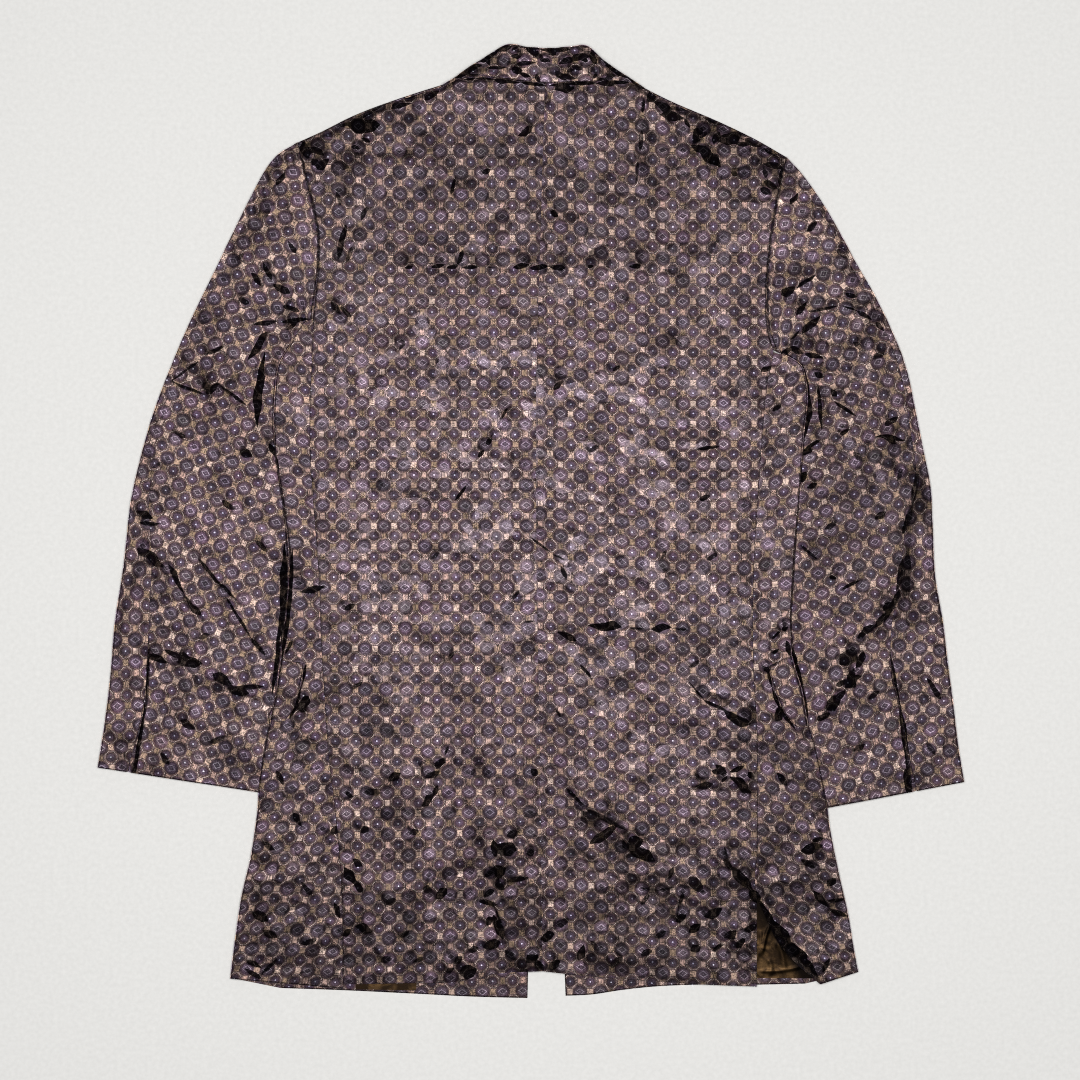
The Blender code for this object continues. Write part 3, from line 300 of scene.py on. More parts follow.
# Leaves: small flat facets between creases that face away from the light, from tip to tip. They are
# placed in steps of 0.9 mm from the upper left corner of the view; the facet falls to the right of its way.
STEP = 0.9
VIEW_MIDDLE = (531.25, 522.0)
LEAVES = {
    "body": [
        # lower right back
        Leaf(724, 711, 752, 724, 10, bend=2), Leaf(703, 700, 730, 713, 3, 0.5),
        Leaf(727, 774, 715, 764, 7), Leaf(727, 773, 711, 771, 5), Leaf(728, 773, 746, 765, 5),
        Leaf(729, 776, 753, 793, 11, 0.7), Leaf(748, 772, 755, 779, 5), Leaf(727, 775, 721, 784, 5),
        Leaf(694, 787, 714, 784, 8), Leaf(694, 770, 698, 781, 2.5, 0.5),
        Leaf(566, 788, 585, 806, 3, 0.55), Leaf(585, 808, 630, 832, 5, 0.6), Leaf(582, 810, 598, 827, 12, 0.23),
        Leaf(618, 826, 588, 845, 8), Leaf(626, 847, 644, 839, 12), Leaf(628, 849, 656, 861, 11, 0.7),
        Leaf(622, 838, 626, 850, 4), Leaf(668, 880, 674, 866, 5), Leaf(688, 877, 704, 893, 9, 0.23),
        Leaf(723, 859, 733, 870, 6), Leaf(731, 867, 752, 891, 10, 0.8), Leaf(750, 888, 759, 904, 9, 0.8),
        Leaf(675, 922, 687, 915, 8), Leaf(688, 933, 701, 924, 7), Leaf(703, 917, 723, 908, 9),
        Leaf(723, 938, 737, 930, 10), Leaf(735, 947, 746, 938, 7), Leaf(690, 951, 701, 946, 8, 0.26),
        Leaf(744, 931, 757, 924, 7), Leaf(711, 951, 725, 944, 6), Leaf(680, 905, 683, 892, 3, 0.5),
        Leaf(540, 939, 555, 934, 9), Leaf(556, 926, 569, 918, 8, 0.27), Leaf(578, 961, 585, 944, 8),
        Leaf(548, 969, 561, 960, 8), Leaf(600, 951, 590, 940, 6, 0.26), Leaf(611, 966, 623, 957, 6, 0.27),
        Leaf(640, 956, 653, 950, 7, 0.26), Leaf(655, 938, 667, 930, 6, 0.26), Leaf(640, 905, 650, 893, 5, 0.23),
        # lower left back
        Leaf(436, 769, 445, 757, 8), Leaf(424, 779, 441, 770, 8, 0.31), Leaf(421, 807, 435, 794, 8),
        Leaf(434, 796, 438, 784, 5), Leaf(449, 745, 444, 757, 3, 0.5), Leaf(387, 782, 401, 772, 9, 0.5),
        Leaf(345, 793, 354, 797, 6, 0.26), Leaf(364, 791, 381, 793, 6, 0.23), Leaf(331, 835, 336, 825, 7),
        Leaf(361, 833, 369, 827, 7), Leaf(344, 867, 357, 887, 10), Leaf(352, 859, 363, 866, 8, 0.26),
        Leaf(355, 880, 363, 893, 6), Leaf(355, 926, 373, 932, 9), Leaf(342, 936, 351, 929, 6),
        Leaf(334, 902, 340, 919, 6), Leaf(436, 899, 447, 888, 8), Leaf(423, 888, 433, 892, 8, 0.23),
        Leaf(493, 845, 517, 850, 14, 0.7), Leaf(506, 836, 520, 831, 9, 0.27), Leaf(493, 839, 496, 857, 7),
        Leaf(483, 877, 503, 866, 7), Leaf(495, 876, 507, 867, 11, 0.75), Leaf(504, 882, 531, 877, 5),
        Leaf(494, 885, 505, 889, 7), Leaf(483, 897, 495, 890, 6), Leaf(478, 901, 498, 905, 5),
        Leaf(526, 854, 535, 850, 7), Leaf(493, 914, 503, 940, 8), Leaf(486, 926, 493, 917, 6),
        Leaf(482, 947, 501, 942, 9, 0.5), Leaf(504, 950, 517, 961, 7, 0.27), Leaf(526, 963, 539, 954, 11, 0.7),
        Leaf(535, 959, 544, 970, 9), Leaf(519, 971, 531, 972, 6), Leaf(459, 974, 477, 968, 14, 0.7),
        Leaf(446, 972, 455, 968, 6), Leaf(454, 963, 463, 956, 7), Leaf(468, 951, 479, 947, 6, 0.26),
        Leaf(410, 834, 419, 830, 6, 0.26), Leaf(470, 776, 475, 768, 6, 0.26), Leaf(400, 938, 410, 930, 5, 0.23),
        Leaf(385, 905, 396, 898, 6, 0.23), Leaf(412, 962, 424, 958, 6, 0.26), Leaf(380, 962, 391, 956, 6, 0.26),
        # left shoulder
        Leaf(346, 222, 338, 262, 7, 0.31), Leaf(352, 246, 346, 264, 5, 0.27), Leaf(457, 174, 450, 196, 4, 0.5),
        Leaf(464, 249, 456, 268, 4, 0.5), Leaf(368, 205, 361, 222, 5, 0.27), Leaf(336, 190, 341, 208, 4, 0.27),
        Leaf(330, 300, 342, 316, 6, 0.27), Leaf(352, 318, 341, 306, 5, 0.27), Leaf(303, 139, 308, 160, 11, 0.75), Leaf(310, 147, 325, 157, 9, 0.7), Leaf(311, 159, 319, 166, 7),
        Leaf(316, 170, 330, 159, 8, 0.7), Leaf(332, 162, 350, 168, 9, 0.27), Leaf(348, 121, 384, 105, 9, 0.75),
        Leaf(347, 126, 381, 125, 13, 0.75), Leaf(338, 127, 352, 121, 5), Leaf(389, 109, 414, 103, 5),
        Leaf(390, 107, 401, 102, 5), Leaf(401, 99, 426, 90, 8, 0.7), Leaf(424, 101, 441, 90, 7),
        Leaf(361, 138, 371, 143, 4, 0.5), Leaf(351, 146, 361, 149, 5, 0.5), Leaf(353, 153, 361, 158, 6, 0.27),
        # right shoulder
        Leaf(646, 102, 658, 90, 8, 0.7), Leaf(651, 101, 673, 110, 9, 0.7), Leaf(668, 108, 691, 110, 4, 0.5),
        Leaf(659, 114, 685, 118, 9, 0.7), Leaf(683, 117, 691, 129, 4, 0.5), Leaf(702, 127, 692, 144, 10, 0.7),
        Leaf(697, 141, 708, 132, 6), Leaf(690, 145, 713, 153, 8, 0.7), Leaf(699, 151, 721, 168, 13, 0.75),
        Leaf(713, 145, 720, 131, 7), Leaf(717, 142, 743, 133, 11, 0.75), Leaf(731, 143, 750, 145, 5),
        Leaf(700, 116, 737, 129, 5, 0.7), Leaf(744, 139, 763, 147, 7, 0.7), Leaf(763, 149, 787, 158, 7, 0.7),
        Leaf(761, 163, 784, 169, 7, 0.7), Leaf(783, 167, 780, 189, 6, 0.7), Leaf(763, 166, 766, 179, 5),
        Leaf(763, 181, 778, 189, 7, 0.7), Leaf(760, 188, 771, 195, 6, 0.5), Leaf(730, 172, 738, 176, 6, 0.5),
        Leaf(645, 97, 642, 114, 4, 0.5), Leaf(642, 126, 640, 152, 4, 0.31), Leaf(639, 158, 635, 190, 3, 0.26),
        # under the collar's edge
        Leaf(553, 90, 576, 87, 9, 0.75), Leaf(494, 80, 509, 82, 6), Leaf(596, 84, 616, 84, 5, 0.6),
        Leaf(456, 80, 478, 78.5, 2.5, 0.7), Leaf(474, 78.5, 499, 79.5, 2.5, 0.7), Leaf(497, 80, 524, 83, 3, 0.75),
        Leaf(520, 83, 549, 86, 3.5, 0.8), Leaf(546, 86, 570, 84, 3.5, 0.8), Leaf(566, 84, 598, 83, 3, 0.75),
        Leaf(595, 83, 632, 82, 3.5, 0.8),
        # beside the pocket flaps
        Leaf(307, 662, 301, 690, 3, 0.8), Leaf(302, 686, 289, 720, 4.5, 0.8), Leaf(299, 708, 309, 696, 9, 0.75),
        Leaf(281, 664, 303, 662, 2.5, 0.7), Leaf(293, 640, 285, 655, 4, 0.5), Leaf(281.5, 652, 274.5, 694, 2.5, 0.85),
        Leaf(762, 670, 791, 657, 2, 0.6),
        Leaf(767, 667, 773, 691, 3, 0.8), Leaf(772, 688, 781, 712, 4.5, 0.8), Leaf(779, 708, 797, 731, 4.5, 0.8),
        Leaf(293, 545, 287, 640, 5, 0.8), Leaf(289, 606, 279, 668, 5, 0.85), Leaf(273, 452, 279, 470, 5, 0.7),
        Leaf(775, 721, 784, 706, 9, 0.8), Leaf(781, 630, 789, 627, 5, 0.75), Leaf(771, 640, 781, 630, 3, 0.6),
        Leaf(786, 640, 791, 657, 5, 0.7), Leaf(764, 671, 772, 667, 6, 0.6), Leaf(772, 654, 780, 648, 4, 0.5),
        # rolled edge of the right vent
        Leaf(756, 899, 774, 925, 8, 0.8), Leaf(769, 917, 793, 949, 11, 0.8), Leaf(785, 940, 806, 967, 14, 0.8),
        Leaf(800, 959, 819, 977, 9, 0.75), Leaf(756, 899, 771, 931, 6, 0.85), Leaf(768, 926, 789, 957, 7, 0.85),
        Leaf(786, 953, 815, 981, 7, 0.85),
        # crack at the left corner of the hem
        Leaf(245, 968, 261, 979, 4, 0.75), Leaf(259, 977, 281, 955, 3.5, 0.7),
        # pressed line across the shoulder blades
        Leaf(404, 268, 414, 266, 4), Leaf(429, 268, 446, 264, 5), Leaf(445, 268, 459, 265, 5),
        Leaf(460, 268, 481, 266, 4.5), Leaf(512, 268, 531, 264, 6), Leaf(528, 268, 549, 266, 6),
        Leaf(548, 267, 566, 268, 6), Leaf(586, 267, 595, 266, 4), Leaf(627, 267, 642, 265, 5),
        Leaf(570, 268, 584, 267, 2, 0.25), Leaf(484, 267, 500, 267, 2, 0.25), Leaf(600, 267, 616, 267, 2, 0.2),
        # slit fold at the waist of the right back
        Leaf(586, 625.5, 623, 627, 10, 0.85), Leaf(626, 628, 646, 629, 2, 0.35), Leaf(650, 628.5, 673, 627, 9, 0.85),
        Leaf(672, 628, 690, 630, 2, 0.35), Leaf(556, 631, 577, 641, 6, 0.7),
        # thin lines between the leaves
        Leaf(529, 536, 551, 553, 2, 0.45), Leaf(550, 553, 567, 561, 2, 0.4), Leaf(560, 565, 567, 579, 4, 0.55),
        Leaf(520, 622, 541, 621, 2, 0.45), Leaf(580, 664, 591, 678, 3.5, 0.5), Leaf(684, 676, 706, 702, 2, 0.45),
        Leaf(723, 842, 728, 861, 2, 0.5), Leaf(531, 768, 537, 776, 7, 0.27), Leaf(657, 890, 676, 887, 2.5, 0.45),
        Leaf(697, 772, 700, 782, 2, 0.5), Leaf(497, 868, 499, 886, 2, 0.6), Leaf(676, 920, 681, 895, 2, 0.45),
        Leaf(640, 888, 660, 891, 2, 0.4), Leaf(494, 905, 508, 944, 2, 0.5), Leaf(555, 708, 561, 718, 2.5, 0.4),
        # middle of the back and side panels
        Leaf(552, 391, 566, 378, 6), Leaf(694, 450, 721, 446, 4, 0.5), Leaf(699, 500, 711, 495, 5),
        Leaf(299, 593, 326, 587, 8, 0.5), Leaf(510, 404, 499, 422, 3, 0.5), Leaf(477, 459, 485, 449, 5),
        Leaf(499, 422, 484, 450, 2.5, 0.27), Leaf(467, 484, 454, 502, 3, 0.5), Leaf(517, 137, 533, 126, 8),
        Leaf(482, 173, 491, 169, 5), Leaf(550, 211, 559, 217, 6), Leaf(486, 445, 493, 437, 5, 0.5),
        Leaf(294, 704, 307, 711, 6), Leaf(430, 560, 441, 551, 4, 0.27), Leaf(612, 372, 621, 364, 4, 0.27),
        Leaf(588, 452, 599, 445, 4, 0.27), Leaf(398, 352, 406, 341, 4, 0.27), Leaf(660, 560, 668, 549, 4, 0.27),
        Leaf(352, 470, 361, 462, 5, 0.27), Leaf(706, 560, 718, 553, 5, 0.27), Leaf(446, 662, 455, 651, 4, 0.27),
        Leaf(512, 600, 520, 588, 4, 0.27), Leaf(352, 690, 363, 681, 5, 0.27), Leaf(688, 668, 700, 661, 5, 0.27),
        Leaf(344, 610, 356, 604, 5, 0.27), Leaf(760, 372, 772, 366, 5, 0.5), Leaf(772, 412, 781, 404, 5, 0.5),
        Leaf(276, 770, 284, 786, 6, 0.27), Leaf(292, 812, 303, 828, 7, 0.27), Leaf(262, 842, 276, 850, 6, 0.27),
        Leaf(252, 912, 269, 921, 9, 0.7), Leaf(262, 930, 278, 938, 7, 0.5), Leaf(300, 880, 312, 896, 6, 0.27),
        Leaf(246, 960, 262, 968, 6, 0.5), Leaf(300, 944, 318, 938, 6, 0.31), Leaf(776, 772, 788, 786, 6, 0.27),
        Leaf(800, 851, 824, 845, 9, 0.3), Leaf(811, 841, 824, 838, 5, 0.45), Leaf(800, 859, 815, 868, 6, 0.5),
        Leaf(827, 887, 836, 877, 9, 0.5), Leaf(813, 890, 829, 908, 7, 0.8), Leaf(828, 909, 849, 917, 6, 0.8),
        Leaf(826, 901, 846, 899, 4, 0.7), Leaf(822, 974, 830, 957, 5, 0.6),
    ],
    "sleeve": [
        # left sleeve
        Leaf(250, 271, 262, 287, 6, 0.5), Leaf(263, 262, 272, 281, 5, 0.31), Leaf(272, 284, 291, 294, 6, 0.55),
        Leaf(279, 323, 312, 319, 5, 0.75), Leaf(268, 331, 247, 362, 9, 0.6), Leaf(282, 306, 301, 312, 5, 0.5),
        Leaf(286, 331, 298, 322, 5, 0.6), Leaf(249, 325, 280, 321, 5), Leaf(300, 337, 313, 320, 5), Leaf(300, 339, 319, 346, 6, 0.5),
        Leaf(265, 350, 258, 430, 9, 0.7, 3), Leaf(269, 443, 277, 457, 6), Leaf(239, 451, 253, 456, 8, 0.5),
        Leaf(205, 394, 220, 382, 8, 0.7), Leaf(202, 383, 213, 391, 6), Leaf(218, 384, 248, 406, 4, 0.6),
        Leaf(170, 381, 208, 396, 3.5, 0.55), Leaf(206, 355, 226, 345, 4, 0.5), Leaf(164, 386, 202, 359, 3, 0.5),
        Leaf(135, 510, 154, 519, 7), Leaf(137, 523, 163, 524, 4, 0.5), Leaf(137, 548, 160, 559, 9),
        Leaf(146, 554, 166, 568, 8, 0.7), Leaf(168, 563, 185, 596, 6), Leaf(184, 594, 196, 614, 5, 0.5),
        Leaf(197, 557, 223, 589, 3.2, 0.5), Leaf(218, 581, 238, 601, 3.2, 0.5), Leaf(224, 594, 253, 641, 3.2, 0.5),
        Leaf(251, 638, 266, 657, 4, 0.5), Leaf(191, 605, 202, 616, 7, 0.5), Leaf(147, 656, 169, 663, 7),
        Leaf(164, 649, 185, 661, 7), Leaf(176, 661, 203, 663, 10, 0.7), Leaf(179, 652, 193, 667, 8),
        Leaf(212, 674, 233, 686, 10, 0.7), Leaf(227, 687, 250, 694, 8), Leaf(230, 687, 266, 686, 5),
        Leaf(285, 540, 281, 652, 7, 0.8), Leaf(283, 600, 275, 668, 4.5, 0.85), Leaf(280.5, 640, 272, 696, 4, 0.85),
        Leaf(149, 639, 146, 705, 2.5, 0.8), Leaf(146, 690, 129, 812, 4, 0.85),
        Leaf(273, 449, 280, 460, 5, 0.5), Leaf(150, 470, 163, 461, 5, 0.27), Leaf(222, 500, 236, 510, 6, 0.27),
        Leaf(196, 640, 211, 634, 6, 0.27), Leaf(180, 720, 196, 729, 7, 0.31), Leaf(208, 742, 228, 736, 6, 0.27),
        Leaf(160, 752, 170, 765, 6, 0.27), Leaf(232, 262, 246, 252, 6, 0.27), Leaf(262, 222, 272, 206, 6, 0.27),
        Leaf(236, 296, 250, 304, 6, 0.27), Leaf(196, 326, 212, 318, 6, 0.27), Leaf(254, 540, 268, 552, 6, 0.27),
        Leaf(276, 186, 285, 172, 6, 0.5), Leaf(288, 240, 296, 254, 5, 0.27), Leaf(172, 430, 186, 438, 6, 0.27),
        # right sleeve
        Leaf(781, 295, 796, 287, 9), Leaf(796, 289, 816, 274, 5), Leaf(796, 316, 807, 301, 5),
        Leaf(802, 334, 821, 315, 7), Leaf(789, 341, 801, 329, 3, 0.5), Leaf(845, 293, 858, 297, 5),
        Leaf(856, 310, 873, 321, 4, 0.55), Leaf(806, 313, 842, 305, 3, 0.5), Leaf(840, 305, 860, 312, 3, 0.5),
        Leaf(875, 322, 885, 332, 5, 0.5), Leaf(779, 355, 793, 348, 5), Leaf(789, 347, 804, 354, 6),
        Leaf(804, 354, 824, 358, 5), Leaf(802, 361, 803, 441, 9, 0.75, -5), Leaf(814, 372, 824, 378, 8),
        Leaf(818, 382, 822, 434, 4, 0.55), Leaf(802, 451, 822, 439, 5), Leaf(800, 456, 813, 449, 6),
        Leaf(834, 401, 859, 418, 4, 0.55), Leaf(830, 389, 837, 397, 6, 0.5), Leaf(871, 437, 908, 443, 6, 0.65, -3),
        Leaf(879, 434, 896, 444, 6), Leaf(839, 435, 851, 428, 4, 0.5), Leaf(884, 426, 899, 417, 7, 0.27),
        Leaf(798, 482, 807, 471, 9), Leaf(805, 488, 818, 483, 6), Leaf(799, 544, 819, 561, 3, 0.5),
        Leaf(829, 576, 837, 579, 4, 0.5), Leaf(839, 591, 863, 578, 5, 0.55), Leaf(902, 536, 913, 504, 6, 0.5),
        Leaf(912, 505, 918, 468, 5, 0.31), Leaf(896, 592, 903, 558, 5, 0.5), Leaf(904, 600, 909, 545, 9, 0.26),
        Leaf(883, 611, 893, 601, 10, 0.7), Leaf(883, 623, 900, 589, 6), Leaf(875, 628, 887, 611, 6),
        Leaf(861, 632, 876, 625, 7), Leaf(857, 639, 867, 630, 5), Leaf(839, 665, 857, 651, 14, 0.27),
        Leaf(856, 669, 864, 651, 7), Leaf(835, 686, 850, 680, 5), Leaf(847, 683, 854, 667, 7),
        Leaf(844, 688, 857, 679, 9, 0.7), Leaf(849, 678, 863, 676, 5), Leaf(825, 709, 842, 696, 13, 0.7),
        Leaf(835, 701, 846, 689, 6), Leaf(817, 721, 830, 712, 7), Leaf(926, 677, 941, 700, 5, 0.5),
        Leaf(790, 640, 797, 668, 4, 0.85), Leaf(795, 658, 803, 690, 4.5, 0.85), Leaf(802, 686, 809, 722, 3, 0.75),
        Leaf(889, 648, 902, 716, 2.5, 0.8), Leaf(899, 700, 913, 802, 6, 0.85), Leaf(905, 768, 911, 800, 8, 0.85),
        Leaf(852, 452, 866, 461, 6, 0.27), Leaf(874, 520, 886, 511, 6, 0.27), Leaf(824, 530, 838, 522, 6, 0.27),
        Leaf(868, 700, 880, 690, 6, 0.27), Leaf(852, 752, 866, 744, 7, 0.27), Leaf(926, 740, 936, 756, 6, 0.27),
        Leaf(872, 360, 886, 351, 6, 0.27), Leaf(836, 250, 850, 258, 6, 0.27), Leaf(806, 232, 818, 222, 6, 0.5),
        Leaf(790, 206, 798, 192, 6, 0.5), Leaf(852, 342, 864, 350, 5, 0.27), Leaf(896, 482, 904, 470, 6, 0.27),
    ],
    "collar": [
        # left end
        Leaf(451, 79, 483, 65, 8, 0.75), Leaf(478, 63, 501, 48, 8, 0.75), Leaf(484, 58, 491, 67, 5), Leaf(485, 69, 508, 68, 3.5),
        Leaf(494, 52, 513, 47, 6, 0.7), Leaf(511, 51, 520, 46, 3.5), Leaf(510, 57, 522, 58, 4.5), Leaf(466, 76, 482, 75, 3),
        Leaf(511, 70, 523, 71, 11, 0.8), Leaf(513, 66, 537, 62.5, 6, 0.75), Leaf(519, 74, 532, 77.5, 6, 0.75),
        Leaf(525, 49.5, 540, 56.5, 6, 0.75), Leaf(516, 46, 542, 50, 3, 0.7), Leaf(536, 75, 541, 83, 5),
        # right end
        Leaf(538, 50.5, 572, 49.5, 6, 0.75), Leaf(539, 61, 551, 62, 5), Leaf(548, 56, 557, 51, 5.5), Leaf(539, 54, 543, 60, 3),
        Leaf(558, 65, 577, 60, 7, 0.8), Leaf(570, 60.5, 590, 57, 7, 0.8), Leaf(580, 57, 588, 63, 5, 0.7),
        Leaf(591, 52, 597, 66, 7, 0.75), Leaf(589, 49, 634, 81, 9, 0.8), Leaf(604, 65, 632, 80, 10, 0.8), Leaf(624, 76, 645, 90, 5, 0.8),
        Leaf(554, 71, 566, 81, 7, 0.75), Leaf(559, 77, 577, 80, 6, 0.75), Leaf(570, 67, 583, 70, 4), Leaf(566, 73, 575, 70, 3.5),
        Leaf(592, 79, 598, 74, 3.5), Leaf(596, 80.5, 613, 80, 3.5, 0.75), Leaf(606, 78, 616, 76, 5),
    ],
}
# how crushed the cloth is (a tilt of its shading normals), how strongly highlights are painted on its facets, and the
# light and shade painted into its colour, everywhere and round some places
CRUSHED = {
    None: (0.15, []),
    "body": (0.34, [Crush(120, -340, 130, 90, 0.06), Crush(-60, -340, 150, 90, 0.04), Crush(160, 340, 90, 45, 0.2),
                    Crush(-160, 340, 80, 45, 0.2), Crush(-20, 60, 130, 110, 0.12), Crush(90, -80, 110, 60, 0.1),
                    Crush(-230, -300, 50, 130, 0.1), Crush(255, -290, 45, 120, 0.1)]),
    "sleeve": (0.19, [Crush(-290, -60, 90, 160, 0.08), Crush(295, -90, 90, 150, 0.08), Crush(-270, 130, 80, 80, 0.12),
                      Crush(280, 140, 80, 90, 0.14)]),
    "collar": (0.5, [Crush(10, 414, 100, 12, 0.3), Crush(10, 398, 140, 3, -0.4)]),
}
# painted highlights: how much the crushed facets are brightened in the colour, most over the middle of the back
PAINTED_GLINTS = {
    None: (0.2, []),
    "body": (0.3, [Crush(0, 110, 200, 150, 0.6), Crush(0, -60, 190, 110, 0.5), Crush(110, -190, 90, 60, 0.3)]),
    "sleeve": (0.2, [Crush(-300, -100, 70, 150, 0.1), Crush(310, 60, 70, 150, 0.2)]),
    "collar": (0.5, []),
}
# painted light and shade: a multiplier on the cloth's colour, darker over the upper back, the lower back, the right
# side panel and the middle of the right sleeve, lighter on the left sleeve and the collar
PAINTED_LIGHT_AND_SHADE = {
    None: (1.0, []),
    "body": (1.0, [Crush(0, 300, 260, 80, -0.17), Crush(140, -370, 150, 90, -0.31), Crush(-110, -370, 120, 90, -0.17),
                   Crush(110, 50, 110, 90, -0.06), Crush(-110, 50, 110, 90, 0.03), Crush(0, -130, 220, 90, -0.07), Crush(240, -250, 35, 90, -0.24), Crush(90, -155, 70, 60, -0.06)]),
    "sleeve": (1.0, [Crush(-310, -40, 120, 300, 0.13), Crush(295, 15, 70, 90, -0.32), Crush(260, 255, 60, 80, 0.09),
                     Crush(-235, 255, 50, 60, 0.16), Crush(305, -200, 50, 60, -0.05), Crush(-300, -190, 60, 60, 0.10)]),
    # painted highlights: thin lighter lines along the collar's lower edge
    "collar": (1.2, [Crush(-44, 401.6, 20, 1.3, 0.5), Crush(80, 399.2, 12, 1.3, 0.4)]),
}

# direction of the weave's rows along the sleeves, degrees down to the right
GRAIN = {
    ("left", "under"): [Grain(0, 36), Grain(0.12, 33), Grain(0.22, 28), Grain(0.38, 23), Grain(0.55, 22), Grain(0.85, 23), Grain(1, 24)],
    ("left", "upper"): [Grain(0, 36), Grain(0.12, 33), Grain(0.22, 28), Grain(0.38, 23), Grain(0.55, 20), Grain(0.7, 6), Grain(0.8, -2),
                        Grain(1, -4)],
    ("right", "under"): [Grain(0, -40), Grain(0.2, -33), Grain(0.36, -28), Grain(0.5, -15), Grain(0.66, -10),
                         Grain(0.76, -9), Grain(0.9, -20), Grain(1, -22)],
    ("right", "upper"): [Grain(0, -40), Grain(0.3, -28), Grain(0.46, -10), Grain(0.6, 3), Grain(1, 4)],
}
SIDE_GRAIN = {"left": 2.0, "right": -4.0}


# ---------------------------------------------------------------- shape functions
def smooth(knots, values, at):
    """Cubic curve through a table's column, with slopes taken from the neighbours."""
    knots, values, at = (np.asarray(a, float) for a in (knots, values, at))
    slopes = np.gradient(values, knots)
    i = np.clip(np.searchsorted(knots, at, side="right") - 1, 0, len(knots) - 2)
    step = knots[i + 1] - knots[i]
    t = np.clip((at - knots[i]) / step, 0, 1)
    return ((2 * t**3 - 3 * t**2 + 1) * values[i] + (t**3 - 2 * t**2 + t) * step * slopes[i]
            + (3 * t**2 - 2 * t**3) * values[i + 1] + (t**3 - t**2) * step * slopes[i + 1])


def run(edge, at):
    """Points (n, 2) along an edge table at shares of its length."""
    pts = np.array(edge, float)
    length = np.concatenate([[0], np.cumsum(np.hypot(*np.diff(pts, axis=0).T))])
    return np.stack([smooth(length / length[-1], pts[:, k], at) for k in (0, 1)], axis=-1)


def joined(first, second, at):
    """Two edges end to end; the corner between them stays sharp."""
    size = [np.hypot(*np.diff(np.array(e, float), axis=0).T).sum() for e in (first, second)]
    share = size[0] / sum(size)
    at = np.asarray(at, float)
    return np.where((at <= share)[:, None], run(first, np.clip(at / share, 0, 1)),
                    run(second, np.clip((at - share) / (1 - share), 0, 1)))


def patch(u, v, top, bottom, outer, inner):
    """Plan points (rows, columns, 2) blended between four edges that share their corners."""
    u = u[None, :, None]
    v = v[:, None, None]
    across = (1 - v) * top[None] + v * bottom[None]
    down = (1 - u) * outer[:, None] + u * inner[:, None]
    corner = ((1 - u) * (1 - v) * top[0] + u * (1 - v) * top[-1]
              + (1 - u) * v * bottom[0] + u * v * bottom[-1])
    return across + down - corner


def ease(t):
    t = np.clip(t, 0, 1)
    return t * t * (3 - 2 * t)


def column(rows, name):
    return np.array([getattr(r, name) for r in rows], float)


def lay_height(xy):
    """Upper face of the smooth lay, as in the part."""
    x, y = xy[..., 0], xy[..., 1]
    z = np.full(x.shape, BODY_HEIGHT)
    for m in MOUNDS:
        z = z + m.rise * np.exp(-((x - m.x) / m.half_width) ** 2 - ((y - m.y) / m.half_length) ** 2)
    for f in FOLDS:
        dx, dy = f.x1 - f.x0, f.y1 - f.y0
        t = np.clip(((x - f.x0) * dx + (y - f.y0) * dy) / (dx * dx + dy * dy), 0, 1)
        away = np.hypot(x - f.x0 - t * dx, y - f.y0 - t * dy)
        z = z + f.rise * np.exp(-((away / f.half_width) ** 2))
    return z


